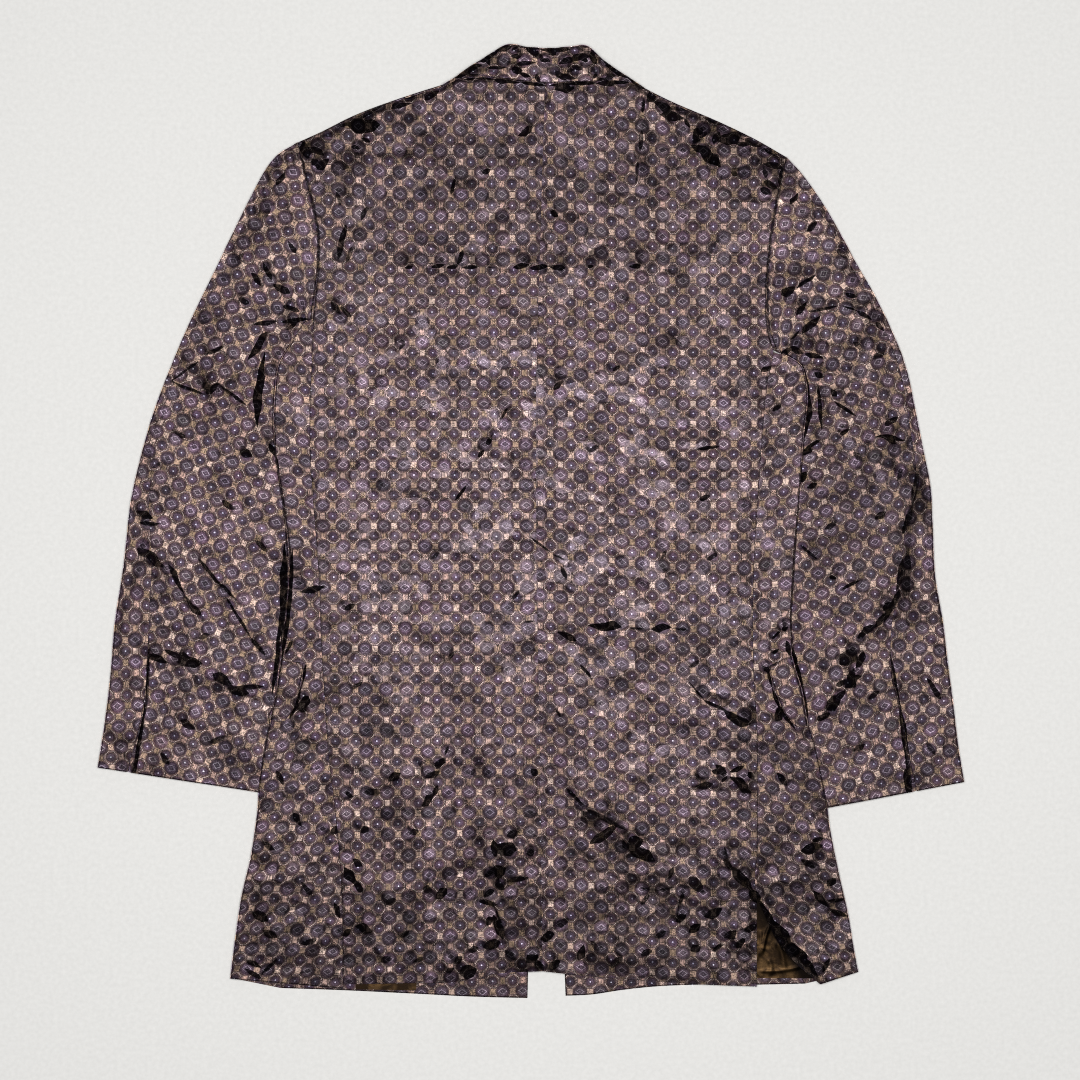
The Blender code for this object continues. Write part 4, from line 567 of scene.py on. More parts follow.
# ---------------------------------------------------------------- the drape's height map
class Drape:
    """Heights of creases over the plan, kept on a fine grid and read between its points."""

    low_x, low_y, wide, tall = -420.0, -460.0, 840.0, 920.0

    def __init__(self, seed):
        self.shape = int(self.tall / RASTER) + 1, int(self.wide / RASTER) + 1
        self.z = np.zeros(self.shape)
        self.x = self.low_x + np.arange(self.shape[1]) * RASTER
        self.y = self.low_y + np.arange(self.shape[0]) * RASTER
        self.rng = np.random.default_rng(seed)
        self.leaf = np.full(self.shape, -9.0)           # how far inside the nearest leaf
        self.lean = np.zeros((*self.shape, 3))          # which way that leaf faces
        self.lean[..., 2] = 1

    def band(self, length, spread=0.35):
        """Even random ripples of about this wavelength, with a mean square of 1."""
        ky = np.fft.fftfreq(self.shape[0], RASTER)[:, None]
        kx = np.fft.rfftfreq(self.shape[1], RASTER)[None]
        k = np.hypot(kx, ky) * length
        keep = np.exp(-(((k - 1) / spread) ** 2))
        noise = np.fft.irfft2(np.fft.rfft2(self.rng.standard_normal(self.shape)) * keep, self.shape)
        return noise / noise.std()

    def crumple(self, length, rise, uneven=0.6):
        """Facets that meet in sharp crests, strong in some patches and faint in others."""
        share = np.clip(1 + uneven * self.band(length * 4), 0.1, 2.2)
        crest = np.abs(self.band(length))
        self.z += rise * share * (0.8 - np.sqrt(crest**2 + 0.01))

    def swell(self, length, rise):
        self.z += rise * self.band(length)

    def crease(self, c):
        reach = 3.2 * max(c.steep, c.gentle) + abs(c.bend) + 4
        x0, x1 = sorted((c.x0, c.x1))
        y0, y1 = sorted((c.y0, c.y1))
        i0, i1 = np.searchsorted(self.x, [x0 - reach, x1 + reach])
        j0, j1 = np.searchsorted(self.y, [y0 - reach, y1 + reach])
        if i1 <= i0 or j1 <= j0:
            return
        way = np.array([c.x1 - c.x0, c.y1 - c.y0], float)
        size = np.hypot(*way)
        way /= size
        px = self.x[None, i0:i1] - c.x0
        py = self.y[j0:j1, None] - c.y0
        t = (px * way[0] + py * way[1]) / size
        s = px * way[1] - py * way[0]
        s = s - c.bend * 4 * t * (1 - t)
        waves = self.rng.uniform(0, 6.3, 3)
        rough = 1 + 0.22 * np.sin(size * t / 5 + waves[0]) + 0.18 * np.sin(size * t / 8.7 + waves[1])
        s = s + 0.35 * np.sin(size * t / 6.3 + waves[2])
        # flat flanks that narrow to the ends, so that each flank is a leaf with a sharp edge
        along = np.sqrt(np.clip(np.sin(np.pi * np.clip(t, 0, 1)), 0, 1)) * rough
        steep = c.steep * np.maximum(along, 0.02)
        gentle = c.gentle * np.maximum(0.35 + 0.65 * along, 0.02)
        across = np.where(s > 0, 1 - s / steep, 1 + s / gentle)
        self.z[j0:j1, i0:i1] += c.rise * along * np.clip(across, 0, 1)

    def fold_leaf(self, f):
        """A facet with sharp edges: one edge is a crest, from which it falls to the other."""
        x0, x1 = ((x - VIEW_MIDDLE[0]) * STEP for x in (f.x0, f.x1))
        y0, y1 = ((VIEW_MIDDLE[1] - y) * STEP for y in (f.y0, f.y1))
        wide = f.width * STEP
        gentle = min(2.2 * wide + 3, 16)
        reach = gentle + wide + abs(f.bend) + 4
        i0, i1 = np.searchsorted(self.x, [min(x0, x1) - reach, max(x0, x1) + reach])
        j0, j1 = np.searchsorted(self.y, [min(y0, y1) - reach, max(y0, y1) + reach])
        way = np.array([x1 - x0, y1 - y0])
        size = np.hypot(*way)
        way /= size
        px = self.x[None, i0:i1] - x0
        py = self.y[j0:j1, None] - y0
        t = (px * way[0] + py * way[1]) / size
        s = px * way[1] - py * way[0]
        on = np.clip(t, 0, 1)
        waves = self.rng.uniform(0, 6.3, 3)
        s = s - f.bend * STEP * 4 * on * (1 - on) - 0.05 * wide * np.sin(size * on / 3.7 + waves[0])
        # each side has two corners of its own, so that no two leaves are alike
        corners = np.array([0.0, self.rng.uniform(0.18, 0.42), self.rng.uniform(0.55, 0.8), 1.0])
        left, right = (wide / 2 * np.interp(on, corners, [0, *self.rng.uniform(0.55, 1.3, 2), 0]) for _ in range(2))
        half = (left + right) / 2
        past = np.abs(t - on) * size
        inside = np.minimum(left + s, right - s) - past
        crest = s + left
        tall = np.clip(np.where(crest > 0, 1 - crest / np.maximum(2 * half, 0.05), 1 + crest / gentle), 0, 1)
        rise = min(f.slope * wide, 0.9) * half / (wide / 2)
        self.z[j0:j1, i0:i1] += rise * tall * (past == 0)
        old = self.leaf[j0:j1, i0:i1]
        new = inside > old
        turn = 0.25 * np.sin(size * on / 4.1 + waves[2])
        fall = min(1.3 * f.slope, 1.05)
        face = np.stack([fall * way[1] + turn * way[0], -fall * way[0] + turn * way[1], np.ones_like(turn)], -1)
        face = face / np.linalg.norm(face, axis=-1, keepdims=True)
        self.lean[j0:j1, i0:i1][new] = face[new]
        old[new] = inside[new]

    def scatter(self, zone):
        for _ in range(zone.count):
            x = zone.x + zone.half_width * self.rng.uniform(-1, 1)
            y = zone.y + zone.half_length * self.rng.uniform(-1, 1)
            a = np.radians(zone.angle + zone.spread * self.rng.uniform(-1, 1))
            half = zone.length * self.rng.uniform(0.3, 1.2) / 2
            rise = zone.rise * self.rng.uniform(0.35, 1.35) * self.rng.choice([1, 1, -1])
            steep = zone.steep * self.rng.uniform(0.7, 1.4)
            way = self.rng.choice([-1, 1])
            self.crease(Crease(x - way * half * np.cos(a), y - way * half * np.sin(a),
                               x + way * half * np.cos(a), y + way * half * np.sin(a),
                               rise, steep, steep * self.rng.uniform(1.8, 3.5), self.rng.uniform(-3, 3)))

    def facing(self, xy):
        """How far inside a leaf these points are, and which way it faces."""
        i = np.clip(np.round((xy[..., 0] - self.low_x) / RASTER).astype(int), 0, self.shape[1] - 1)
        j = np.clip(np.round((xy[..., 1] - self.low_y) / RASTER).astype(int), 0, self.shape[0] - 1)
        return self.at(xy, self.leaf), self.lean[j, i]

    def at(self, xy, values=None):
        values = self.z if values is None else values
        fx = np.clip((xy[..., 0] - self.low_x) / RASTER, 0, self.shape[1] - 1.001)
        fy = np.clip((xy[..., 1] - self.low_y) / RASTER, 0, self.shape[0] - 1.001)
        i, j = fx.astype(int), fy.astype(int)
        fx, fy = fx - i, fy - j
        return ((values[j, i] * (1 - fx) + values[j, i + 1] * fx) * (1 - fy)
                + (values[j + 1, i] * (1 - fx) + values[j + 1, i + 1] * fx) * fy)


def make_drape(name, seed, swells, crumples):
    d = Drape(seed)
    for length, rise in swells:
        d.swell(length, rise)
    for length, rise in crumples:
        d.crumple(length, rise)
    for c in CREASES[name]:
        d.crease(c._replace(rise=0.3 * c.rise))
    for f in LEAVES[name]:
        d.fold_leaf(f)
    for z in ZONES[name]:
        d.scatter(z._replace(rise=0.4 * z.rise))
    return d


DRAPE = {
    "body": make_drape("body", 11, [(90, 0.30)], [(46, 0.13), (22, 0.05)]),
    "sleeve": make_drape("sleeve", 23, [(80, 0.36)], [(42, 0.16), (21, 0.06)]),
    "collar": make_drape("collar", 37, [(40, 0.2)], [(24, 0.10)]),
}


# ---------------------------------------------------------------- panels
def shares(count, width, fine=(0.35, 0.8, 1.4, 2.2)):
    """Even shares of a width, with closer ones beside both edges."""
    u = np.linspace(0, 1, count)
    near = np.array(fine) / width
    u = u[(u == 0) | (u == 1) | ((u > near[-1] * 1.3) & (u < 1 - near[-1] * 1.3))]
    return np.unique(np.concatenate([u, near, 1 - near]))


def with_height(xy, z):
    return np.concatenate([xy, np.asarray(z)[..., None]], axis=-1)


def groove(away, depth=GROOVE):
    return -depth * np.exp(-((away / GROOVE_WIDTH) ** 2))


def lip(line, inside, low, free=1.0, roll=EDGE_ROLL):
    """Three further lines that turn an edge down, from the edge line (n, 3) and its neighbour.

    A free edge rolls out a little; at a seam the cloth goes straight down.
    """
    out = line[:, :2] - inside[:, :2]
    out = out / np.maximum(np.linalg.norm(out, axis=1, keepdims=True), 1e-6) * free
    made = []
    for side, drop in ((0.16, 0.3), (0.2, 0.9), (0.12, roll)):
        z = np.maximum(line[:, 2] - drop, low)
        made.append(np.concatenate([line[:, :2] + out * side, z[:, None]], axis=1))
    return made


def add_lip(points, pattern, where, low=0.1, free=1.0):
    """The panel with a turned edge at its top, bottom, first or last line."""
    flip = where in ("first", "last")
    if flip:
        points, pattern = points.swapaxes(0, 1), pattern.swapaxes(0, 1)
    end = where in ("bottom", "last")
    line, inside = (points[-1], points[-3]) if end else (points[0], points[2])
    extra = np.stack(lip(line, inside, low, free))
    step = np.linalg.norm(np.diff(np.concatenate([line[None], extra]), axis=0), axis=-1).cumsum(0)
    way = pattern[-1] - pattern[-3] if end else pattern[0] - pattern[2]
    way = way / np.maximum(np.linalg.norm(way, axis=-1, keepdims=True), 1e-6)
    extra_pattern = (pattern[-1] if end else pattern[0])[None] + way[None] * step[..., None]
    if end:
        points, pattern = np.concatenate([points, extra]), np.concatenate([pattern, extra_pattern])
    else:
        points = np.concatenate([extra[::-1], points])
        pattern = np.concatenate([extra_pattern[::-1], pattern])
    return (points.swapaxes(0, 1), pattern.swapaxes(0, 1)) if flip else (points, pattern)


def side_line(side, name, at):
    return smooth(-column(SIDE[side], "seam_y"), column(SIDE[side], name), -np.asarray(at, float))


def turned(xy, degrees):
    """Pattern coordinates of plan points where the rows run down to the right by this angle."""
    a = np.radians(degrees)
    return np.stack([xy[..., 0] * np.cos(a) - xy[..., 1] * np.sin(a),
                     xy[..., 0] * np.sin(a) + xy[..., 1] * np.cos(a)], -1)


def back_pattern(side, xy):
    """The back's weave: a little longer over the shoulder blades, its rows pulled askew on the right."""
    x, y = xy[..., 0], xy[..., 1]
    level = np.linspace(-460, 460, 921)
    pitch = REPEAT + 1.2 * ease((level - 180) / 80) + 0.15 * ease((-level) / 200)
    down = np.concatenate([[0], np.cumsum(np.diff(level) / pitch[1:])]) * REPEAT
    if side == "right":
        slope = 0.092 - 0.03 * ease((-y - 200) / 120)
        flat = ease((x - 95) / 60) * (1 - 0.75 * ease((-y - 10) / 80))
        drop = slope * (np.minimum(x, 125) - 5) + slope * (1 - flat) * np.maximum(x - 125, 0)
        lean = 0.0
    else:
        drop = 0.06 * np.minimum(x + 110, 0) * ease((y - 60) / 120) - 0.04 * (x + 80) * ease((-y - 220) / 120)
        lean = 0.013 * y
    px = x + lean
    py = np.interp(y, level, down) + drop
    anchor = {"left": (-64.1, 372.9), "right": (26.4, 343.8)}[side]
    if side == "left":
        ax, ay = anchor[0] + 0.013 * anchor[1], np.interp(anchor[1], level, down)
    else:
        ax, ay = anchor[0], np.interp(anchor[1], level, down) + 0.092 * (anchor[0] - 5)
    return np.stack([px - ax, py - ay], -1)


def back(side, plain=False):
    drape = DRAPE["body"]
    width = 205.0
    u = shares(146, width)
    v = shares(590, 760.0)
    hem, top_y = HEM_BACK[side][0], SHOULDER[side][0].y
    level = top_y + v * (hem.y - top_y)
    arm = ARMHOLE[side]
    x = np.where(level > arm[-1].y, smooth(-column(arm, "y"), column(arm, "x"), -level),
                 side_line(side, "seam_x", np.minimum(level, SIDE[side][0].seam_y)))
    if side == "right":
        x = np.where(level < VENT_TOP, hem.x, x)
    outer = np.stack([x, level], -1)
    xy = patch(u, v, joined(SHOULDER[side], NECK[side], u), run(HEM_BACK[side], u), outer, run(CENTRE_SEAM, v))
    z = lay_height(xy)
    wide = np.linalg.norm(xy[:, -1] - xy[:, 0], axis=1)[:, None]
    tall = np.linalg.norm(xy[-1] - xy[0], axis=1)[None]
    from_outer, from_inner = u[None] * wide, (1 - u[None]) * wide
    from_top, from_hem = v[:, None] * tall, (1 - v[:, None]) * tall
    if not plain:
        keep = (0.25 + 0.75 * ease(np.minimum(from_outer, from_inner) / 7)) * (0.3 + 0.7 * ease(from_hem / 8))
        z = z + drape.at(xy) * keep
        pucker = np.sin(xy[..., 1] / 2.1 + 3 * np.sin(xy[..., 1] / 17)) * 0.16
        z = z + pucker * (np.exp(-((from_inner - 3) / 5) ** 2) + np.exp(-((from_outer - 3) / 5) ** 2))
        vent = ease((VENT_TOP + 6 - xy[..., 1]) / 10) if side == "right" else 0.0
        arm_seam = ease((xy[..., 1] - arm[-1].y) / 6)
        z = z + groove(from_outer, GROOVE + (ARM_GROOVE - GROOVE) * arm_seam) * (1 - vent) + groove(from_inner)
        # the hem's turned-up depth shows as a faint step
        z = z + 0.25 * ease((34 - from_hem) / 3)
    # the shoulder edge turns down to its seam with the front
    drop = ease((abs(xy[0, :, 0] - 13) - 70) / 30)[None]
    edge = SHOULDER_EDGE + 0.2
    low = np.exp(-((from_top / 3.2) ** 2)) * drop
    z = z * (1 - low) + edge * low
    # and lies flat under the collar
    z = z - 1.3 * ease((xy[..., 1] - 396) / 4) * (1 - drop)
    points, pattern = with_height(xy, z), back_pattern(side, xy)
    if not plain:
        points, pattern = add_lip(points, pattern, "bottom", 2.4)
        points, pattern = add_lip(points, pattern, "first", 2.6, 0.15)
    return points, pattern


def lapel_lift(side, xy):
    rows, sign = LAPEL[side], SIGN[side]
    edge = np.interp(-xy[..., 1], -column(rows, "edge_y"), column(rows, "edge_x"))
    low = rows[-1].edge_y
    return ease((sign * (xy[..., 0] - edge) + 48) / 26) * ease((xy[..., 1] - low + 62) / 30)


def flap_lift(side, xy):
    rows, sign = FLAP[side], SIGN[side]
    end = column(rows, "front_x")
    end = end.max() if sign > 0 else end.min()
    top, low = rows[0].fold_y, rows[-1].rear_y
    return (ease((44 - sign * (xy[..., 0] - end)) / 26) * ease((top + 46 - xy[..., 1]) / 28)
            * ease((xy[..., 1] - low + 46) / 28))


def front(side, plain=False):
    """A front on the floor: its hem shows below the back's."""
    u, v = shares(60, 230.0, (1.2, 2.4)), shares(230, 750.0, (1.2, 2.4))
    hem, top_y = HEM_FRONT[side][0], SHOULDER[side][0].y
    level = top_y + v * (hem.y - top_y)
    arm = ARMHOLE[side]
    x = np.where(level > arm[-1].y, smooth(-column(arm, "y"), column(arm, "x"), -level),
                 side_line(side, "front_x", np.minimum(level, SIDE[side][0].seam_y)))
    join = ease((arm[-1].y - level) / 30)
    x = np.where(level > arm[-1].y, x, arm[-1].x * (1 - join) + x * join)
    outer = np.stack([x, level], -1)
    top = joined(SHOULDER[side], [SHOULDER[side][-1], FRONT_EDGE[side][0]], u)
    xy = patch(u, v, top, run(HEM_FRONT[side], u), outer, run(FRONT_EDGE[side], v))
    z = 0.75 + LIFT * np.maximum(lapel_lift(side, xy), flap_lift(side, xy))
    tall = np.linalg.norm(xy[-1] - xy[0], axis=1)[None]
    z = z + np.exp(-((v[:, None] * tall / 3.2) ** 2)) * (SHOULDER_EDGE - 1.6)
    if not plain:
        z = z + 0.10 * np.clip(DRAPE["body"].at(xy * np.array([1, 0.93])), -2, 3)
        z = np.maximum(z, 0.62)
    return with_height(xy, z), turned(xy, -1.5 * SIGN[side])


def section_wrap(top_end, fold, low_end, low_z, over, n_turn, under, base, detail, out=0.0, wall=CLOTH):
    """Sections over the top, round a fold and back below; also the cloth laid flat beyond the fold.

    base and detail give the smooth height of the upper face and the creases on it.
    """
    towards = fold - top_end
    reach = np.linalg.norm(towards, axis=1, keepdims=True)
    towards = towards / reach
    fold_z = base(fold) - wall / 2
    radius = (fold_z - low_z) / 2
    wobble = 0.5 * np.clip(detail(fold), -1.2, 1.8) if detail else np.zeros(len(fold))
    start = fold - towards * TURN
    lines, flat = [], []
    for t in over:
        p = top_end * (1 - t) + start * t
        z = (base(p) - wall / 2) * (1 - t) + fold_z * t
        if detail:
            z = z + detail(p) * ease(np.linalg.norm(start - p, axis=1) / 9)
        lines.append(with_height(p, z + out + wall / 2))
        flat.append(p)
    full, tall = TURN + wall / 2 + out + wobble, radius + wall / 2 + out
    length, last = np.zeros(len(fold)), 0.0
    for a in np.linspace(0, np.pi, n_turn + 1):
        p = start + towards * (full * np.sin(a))[:, None]
        lines.append(with_height(p, low_z + radius + tall * np.cos(a)))
        length = length + np.hypot(full * (np.sin(a) - np.sin(last)), tall * (np.cos(a) - np.cos(last)))
        flat.append(start + towards * length[:, None])
        last = a
    for t in under:
        p = start * (1 - t) + low_end * t
        lines.append(with_height(p, low_z - out - wall / 2 + 0.15))
        flat.append(start + towards * (length + np.linalg.norm(p - start, axis=1))[:, None])
    return np.stack(lines, 1), np.stack(flat, 1)


def leaned(points, n, share, beside, side):
    """A fold of eight turns from line n on, reaching out to touch the outline of what lies beside it."""
    own = points[:, n + 4, :2]
    fine = np.linspace(0, len(beside) - 1, 4000)
    beside = np.stack([np.interp(fine, np.arange(len(beside)), beside[:, k]) for k in (0, 1)], -1)
    away = beside[None] - own[:, None]
    size = np.linalg.norm(away, axis=-1)
    gap = size.min(1)
    way = away[np.arange(len(own)), size.argmin(1)] / np.maximum(gap, 1e-6)[:, None]
    press = PRESS
    for top, low in GROOVES[side]:
        press = press - (PRESS - 0.3) * ease((top + 12 - own[:, 1]) / 24) * ease((own[:, 1] - low + 12) / 24)
    move = way * (np.clip(gap + press, 0, 9) * share * ease((13 - gap) / 4))[:, None]
    even = np.hanning(13) / np.hanning(13).sum()
    move = np.stack([np.convolve(np.pad(move[:, k], 6, "edge"), even, "valid") for k in (0, 1)], -1)
    # the cloth beside the fold follows it
    weight = np.concatenate([np.linspace(0, 1, n + 4) ** 5, np.ones(1), np.cos(np.linspace(0, np.pi / 2, 5)[1:]) ** 2])
    points = points.copy()
    points[:, :n + 9, :2] += move[:, None] * weight[None, :, None]
    return points


def beside_flap(side, y):
    """1 at the levels of the pocket flap, where the side keeps its place under it."""
    top, low = FLAP[side][0].fold_y, FLAP[side][-1].rear_y
    return ease((top + 9 - y) / 6) * ease((y - low + 9) / 6)


def side_wrap(side, at, over, n_turn, under, out=0.0, plain=False, wall=CLOTH):
    drape = DRAPE["body"]
    seam = np.stack([side_line(side, "seam_x", at), at], -1)
    fold = np.stack([side_line(side, "fold_x", at), side_line(side, "fold_y", at)], -1)
    low = np.stack([side_line(side, "front_x", at), at], -1)
    lift = LIFT * flap_lift(side, fold)
    points, flat = section_wrap(seam, fold, low, CLOTH / 2 + lift, over, n_turn, under, lay_height,
                                None if plain else drape.at, out, wall)
    return points, flat


def side_pattern(side, flat):
    """Rows nearly level; the columns lean with the fold, one way above the waist and the other below."""
    x, y = flat[..., 0] - (-212.0 if side == "left" else 232.0), flat[..., 1]
    level = np.linspace(-460, 260, 721)
    lean = np.tan(np.radians(-9 + 5 * ease((40 - level) / 80) + 18 * ease((-40 - level) / 160)))
    drift = np.concatenate([[0], np.cumsum((lean[1:] + lean[:-1]) / 2)])
    drift = drift - np.interp(-300.0, level, drift)
    rows = np.tan(np.radians(SIDE_GRAIN[side]))
    return np.stack([x - SIGN[side] * np.interp(y, level, drift), y + x * rows], -1)


def side_panel(side, plain=False, alone=False):
    over = shares(52, 60.0)
    over = over[over < 0.995]
    at = np.linspace(SIDE[side][0].seam_y + 3, SIDE[side][-1].seam_y, 430)
    points, flat = side_wrap(side, at, over, 8, np.linspace(0, 1, 7)[1:], plain=plain)
    pattern = side_pattern(side, flat)
    n = len(over)
    if alone:
        outline = points[:, n + 4, :2].copy()
        top, low_end = FLAP[side][0].fold_y, FLAP[side][-1].rear_y
        outline[:, 0] -= SIGN[side] * 1.3 * ease((top + 1 - at) / 3) * ease((at - low_end + 1) / 3)
        return outline
    if not plain:
        points = leaned(points, n, 0.5 * (1 - beside_flap(side, at)), sleeve(side, "under", alone=True), side)
    under = points[:, n + 9:]
    under[..., 2] = under[..., 2] + LIFT * (flap_lift(side, under[..., :2])
                                            - flap_lift(side, points[:, n + 8:n + 9, :2]))
    if not plain:
        away = np.linalg.norm(points[:, :n, :2] - points[:, :1, :2], axis=-1)
        vent = ease((VENT_TOP + 6 - at) / 10)[:, None] if side == "right" else 0.0
        points[:, :n, 2] += groove(away) * (1 - vent)
        pucker = np.sin(at / 2.2 + 3 * np.sin(at / 15))[:, None] * 0.16
        points[:, :n, 2] += pucker * np.exp(-((away - 3) / 5) ** 2)
        if side == "right":
            # the vent's edge is a soft thick roll that stands a little up
            points[:, :n, 2] += vent * 1.1 * np.exp(-(((away - 5) / 5) ** 2))
        points, pattern = add_lip(points, pattern, "first", 2.2, 0.15)
        points, pattern = add_lip(points, pattern, "bottom", 0.15)
    return points, pattern


def sleeve_rows(side, rows):
    table = SLEEVE[side]
    knots = np.linspace(0, 1, len(table))
    at = np.linspace(0, 1, rows)
    get = lambda name: smooth(knots, column(table, name), at)
    outer = np.stack([get("outer_x"), get("outer_y")], -1)
    inner = np.stack([get("inner_x"), get("inner_y")], -1)
    return at, outer, inner, get("bow"), get("seam")


def bowed(side, pts, outer, inner, bow):
    """Curves the first sections of a sleeve to follow the armhole; the first one lies along it."""
    chord = inner - outer
    size = np.linalg.norm(chord, axis=1)
    share = np.einsum("ijk,ik->ij", pts[..., :2] - outer[:, None], chord) / size[:, None] ** 2
    share = np.clip(share, 0, 1)
    normal = np.stack([-chord[:, 1], chord[:, 0]], -1) / size[:, None]
    normal = normal * np.sign(normal[:, :1] + 1e-9)
    pts = pts.copy()
    pts[..., :2] += normal[:, None] * (bow[:, None] * 4 * share * (1 - share))[..., None]
    # ease from the true armhole into the bowed sections
    hole = run(ARMHOLE[side], share[0]) - np.array([SIGN[side] * 0.2, 0])
    gap = hole - pts[0, :, :2]
    fade = (1 - ease(np.linspace(0, 1, len(pts)) / 0.06))[:, None, None]
    pts[..., :2] += gap[None] * fade
    return pts


def sleeve_pattern(side, piece, at, outer, inner, flat):
    """The weave turns with the sleeve: its direction follows the table from armhole to cuff."""
    rows = GRAIN[side, piece]
    angle = np.radians(smooth(column(rows, "share"), column(rows, "angle"), at))
    axis = (outer + inner) / 2
    cos, sin = np.cos(angle), np.sin(angle)
    step = np.diff(axis, axis=0)
    mid_c, mid_s = (cos[1:] + cos[:-1]) / 2, (sin[1:] + sin[:-1]) / 2
    moved = np.stack([step[:, 0] * mid_c - step[:, 1] * mid_s, step[:, 0] * mid_s + step[:, 1] * mid_c], -1)
    centre = np.concatenate([[[0.0, 0.0]], np.cumsum(moved, axis=0)])
    away = flat - axis[:, None]
    local = np.stack([away[..., 0] * cos[:, None] - away[..., 1] * sin[:, None],
                      away[..., 0] * sin[:, None] + away[..., 1] * cos[:, None]], -1)
    return centre[:, None] + local


HIND_SEAM = {"left": 0.05, "right": 0.09}  # depth of the seam behind the elbow
CUFF_VENT = {"left": (0.775, 3.4, 1.0), "right": (0.78, 3.4, 2.0)}  # where it opens, its gap at the hem, how late it widens


def sleeve(side, piece, plain=False, alone=False):
    drape = DRAPE["sleeve"]
    rows = 400
    at, outer, inner, bow, seam = sleeve_rows(side, rows)
    along = (inner - outer) / np.linalg.norm(inner - outer, axis=1, keepdims=True)
    wide = np.linalg.norm(inner - outer, axis=1)
    hind = outer + (inner - outer) * seam[:, None]
    fore = inner + (outer - inner) * FOREARM_SEAM
    low_z = np.full(rows, CLOTH / 2)
    vent_at, vent_gap, late = CUFF_VENT[side]
    down = np.clip((at - vent_at) / (1 - vent_at), 0, 1)
    opening = 1.0 * ease(6 * down) + vent_gap * down**late
    detail = None if plain else drape.at
    if piece == "upper":
        n = 30
        over = shares(n, 26.0)
        over = over[over < 0.98]
        points, flat = section_wrap(hind - along * 0.1, outer, fore, low_z, over, 9, np.linspace(0, 1, 15)[1:],
                                    lay_height, detail)
    else:
        over = shares(112, 130.0)
        over = over[over < 0.998]
        points, flat = section_wrap(hind + along * 0.1, inner, fore, low_z, over, 8,
                                    np.linspace(0, 1, 5)[1:], lay_height, detail)
    straight = points[..., :2]
    points = bowed(side, points, outer, inner, bow)
    pattern = sleeve_pattern(side, piece, at, outer, inner, flat + points[..., :2] - straight)
    n = len(over)
    if alone:
        return points[:, n + 4, :2]
    if piece == "under" and not plain:
        share = 0.5 + 0.5 * beside_flap(side, points[:, n + 4, 1])
        points = leaned(points, n, share, side_panel(side, alone=True), side)
    if not plain:
        away = np.linalg.norm(points[:, :n, :2] - points[:, :1, :2], axis=-1)
        shut = 1 - ease((at - vent_at) / 0.03)[:, None]
        points[:, :n, 2] += groove(away, HIND_SEAM[side]) * shut
        if piece == "under":
            fall = np.clip(opening[:, None] - away, 0, None) * 1.2
            points[:, :n, 2] = np.maximum(points[:, :n, 2] - fall, np.minimum(points[:, :n, 2], 1.6))
        # the sleeve head rises out of the armhole seam
        length = np.linalg.norm(points[:, :, :2] - points[:1, :, :2], axis=-1)
        points[..., 2] += groove(length, ARM_GROOVE) * (np.arange(points.shape[1]) < n)
        pucker = np.sin(at * 640 / 2.3 + 3 * np.sin(at * 37))[:, None] * 0.16
        points[:, :n, 2] += pucker * np.exp(-((away - 3) / 5) ** 2)
        points, pattern = add_lip(points, pattern, "bottom", 0.15)
    return points, pattern


def collar(plain=False):
    drape = DRAPE["collar"]
    knots = column(COLLAR, "x")
    x = np.linspace(knots[0], knots[-1], 300)
    fold_y, edge_y = (smooth(knots, column(COLLAR, n), x) for n in ("fold_y", "edge_y"))
    fold, edge = np.stack([x, fold_y], -1), np.stack([x, edge_y], -1)
    neck_y = np.maximum(fold_y - STAND_DEPTH, 401.2 - 0.055 * np.maximum(x - 13, 0))
    neck = np.stack([x, np.minimum(neck_y, fold_y - 1.5)], -1)
    # its ends come down with the shoulder edges
    down = lambda p: ease((abs(p[..., 0] - 13) - 69) / 17)
    stand_z = BODY_HEIGHT + 0.9 - 1.5 * down(fold)
    lying = lambda p: BODY_HEIGHT + 1.6 + CLOTH + COLLAR_ROLL * 0.55 - 1.8 * down(p)
    over = shares(52, 30.0, (0.5, 1.2))
    over = over[over < 0.97]
    points, flat = section_wrap(edge, fold, neck, stand_z, over, 9, np.linspace(0, 1, 6)[1:], lying,
                                None if plain else drape.at)
    if not plain:
        points, flat = add_lip(points, flat, "first", 6.9)
    return points, flat * np.array([1.0, 1.0]) - np.array([12.0, 396.0])


def lapel(side, plain=False):
    table = LAPEL[side]
    at = np.linspace(0, 1, 90)
    knots = np.linspace(0, 1, len(table))
    get = lambda name: smooth(knots, column(table, name), at)
    roll = np.stack([get("roll_x"), get("roll_y")], -1)
    edge = np.stack([get("edge_x"), get("edge_y")], -1)
    u = np.linspace(0, 1, 16)[None, :, None]
    xy = edge[:, None] * (1 - u) + roll[:, None] * u
    return with_height(xy, np.full(xy.shape[:2], TRIM / 2)), turned(xy, 20 * SIGN[side])


def pocket_flap(side, plain=False):
    """The flap follows the side panel round its fold, a wall further out."""
    table = FLAP[side]
    at = np.linspace(table[0].fold_y, table[-1].fold_y, 46)
    get = lambda name: smooth(-column(table, "fold_y"), column(table, name), -at)
    rear = np.stack([get("rear_x"), get("rear_y")], -1)
    front_x = get("front_x")
    fold = np.stack([side_line(side, "fold_x", at), side_line(side, "fold_y", at)], -1)
    low = np.stack([front_x, at], -1)
    low_z = CLOTH / 2 + LIFT * flap_lift(side, fold)
    out = CLOTH / 2 + LIE_GAP + TRIM / 2
    crease = DRAPE["body"].at
    points, flat = section_wrap(rear, fold, low, low_z, np.linspace(0, 1, 14)[:-1], 9, np.linspace(0, 1, 10)[1:],
                                lambda p: lay_height(p), None if plain else lambda p: 0.7 * crease(p), out, CLOTH - 0.9)
    pattern = side_pattern(side, flat) + np.array([4.0, 6.0])
    if not plain:
        points, pattern = add_lip(points, pattern, "first", 3.5)
    return points, pattern


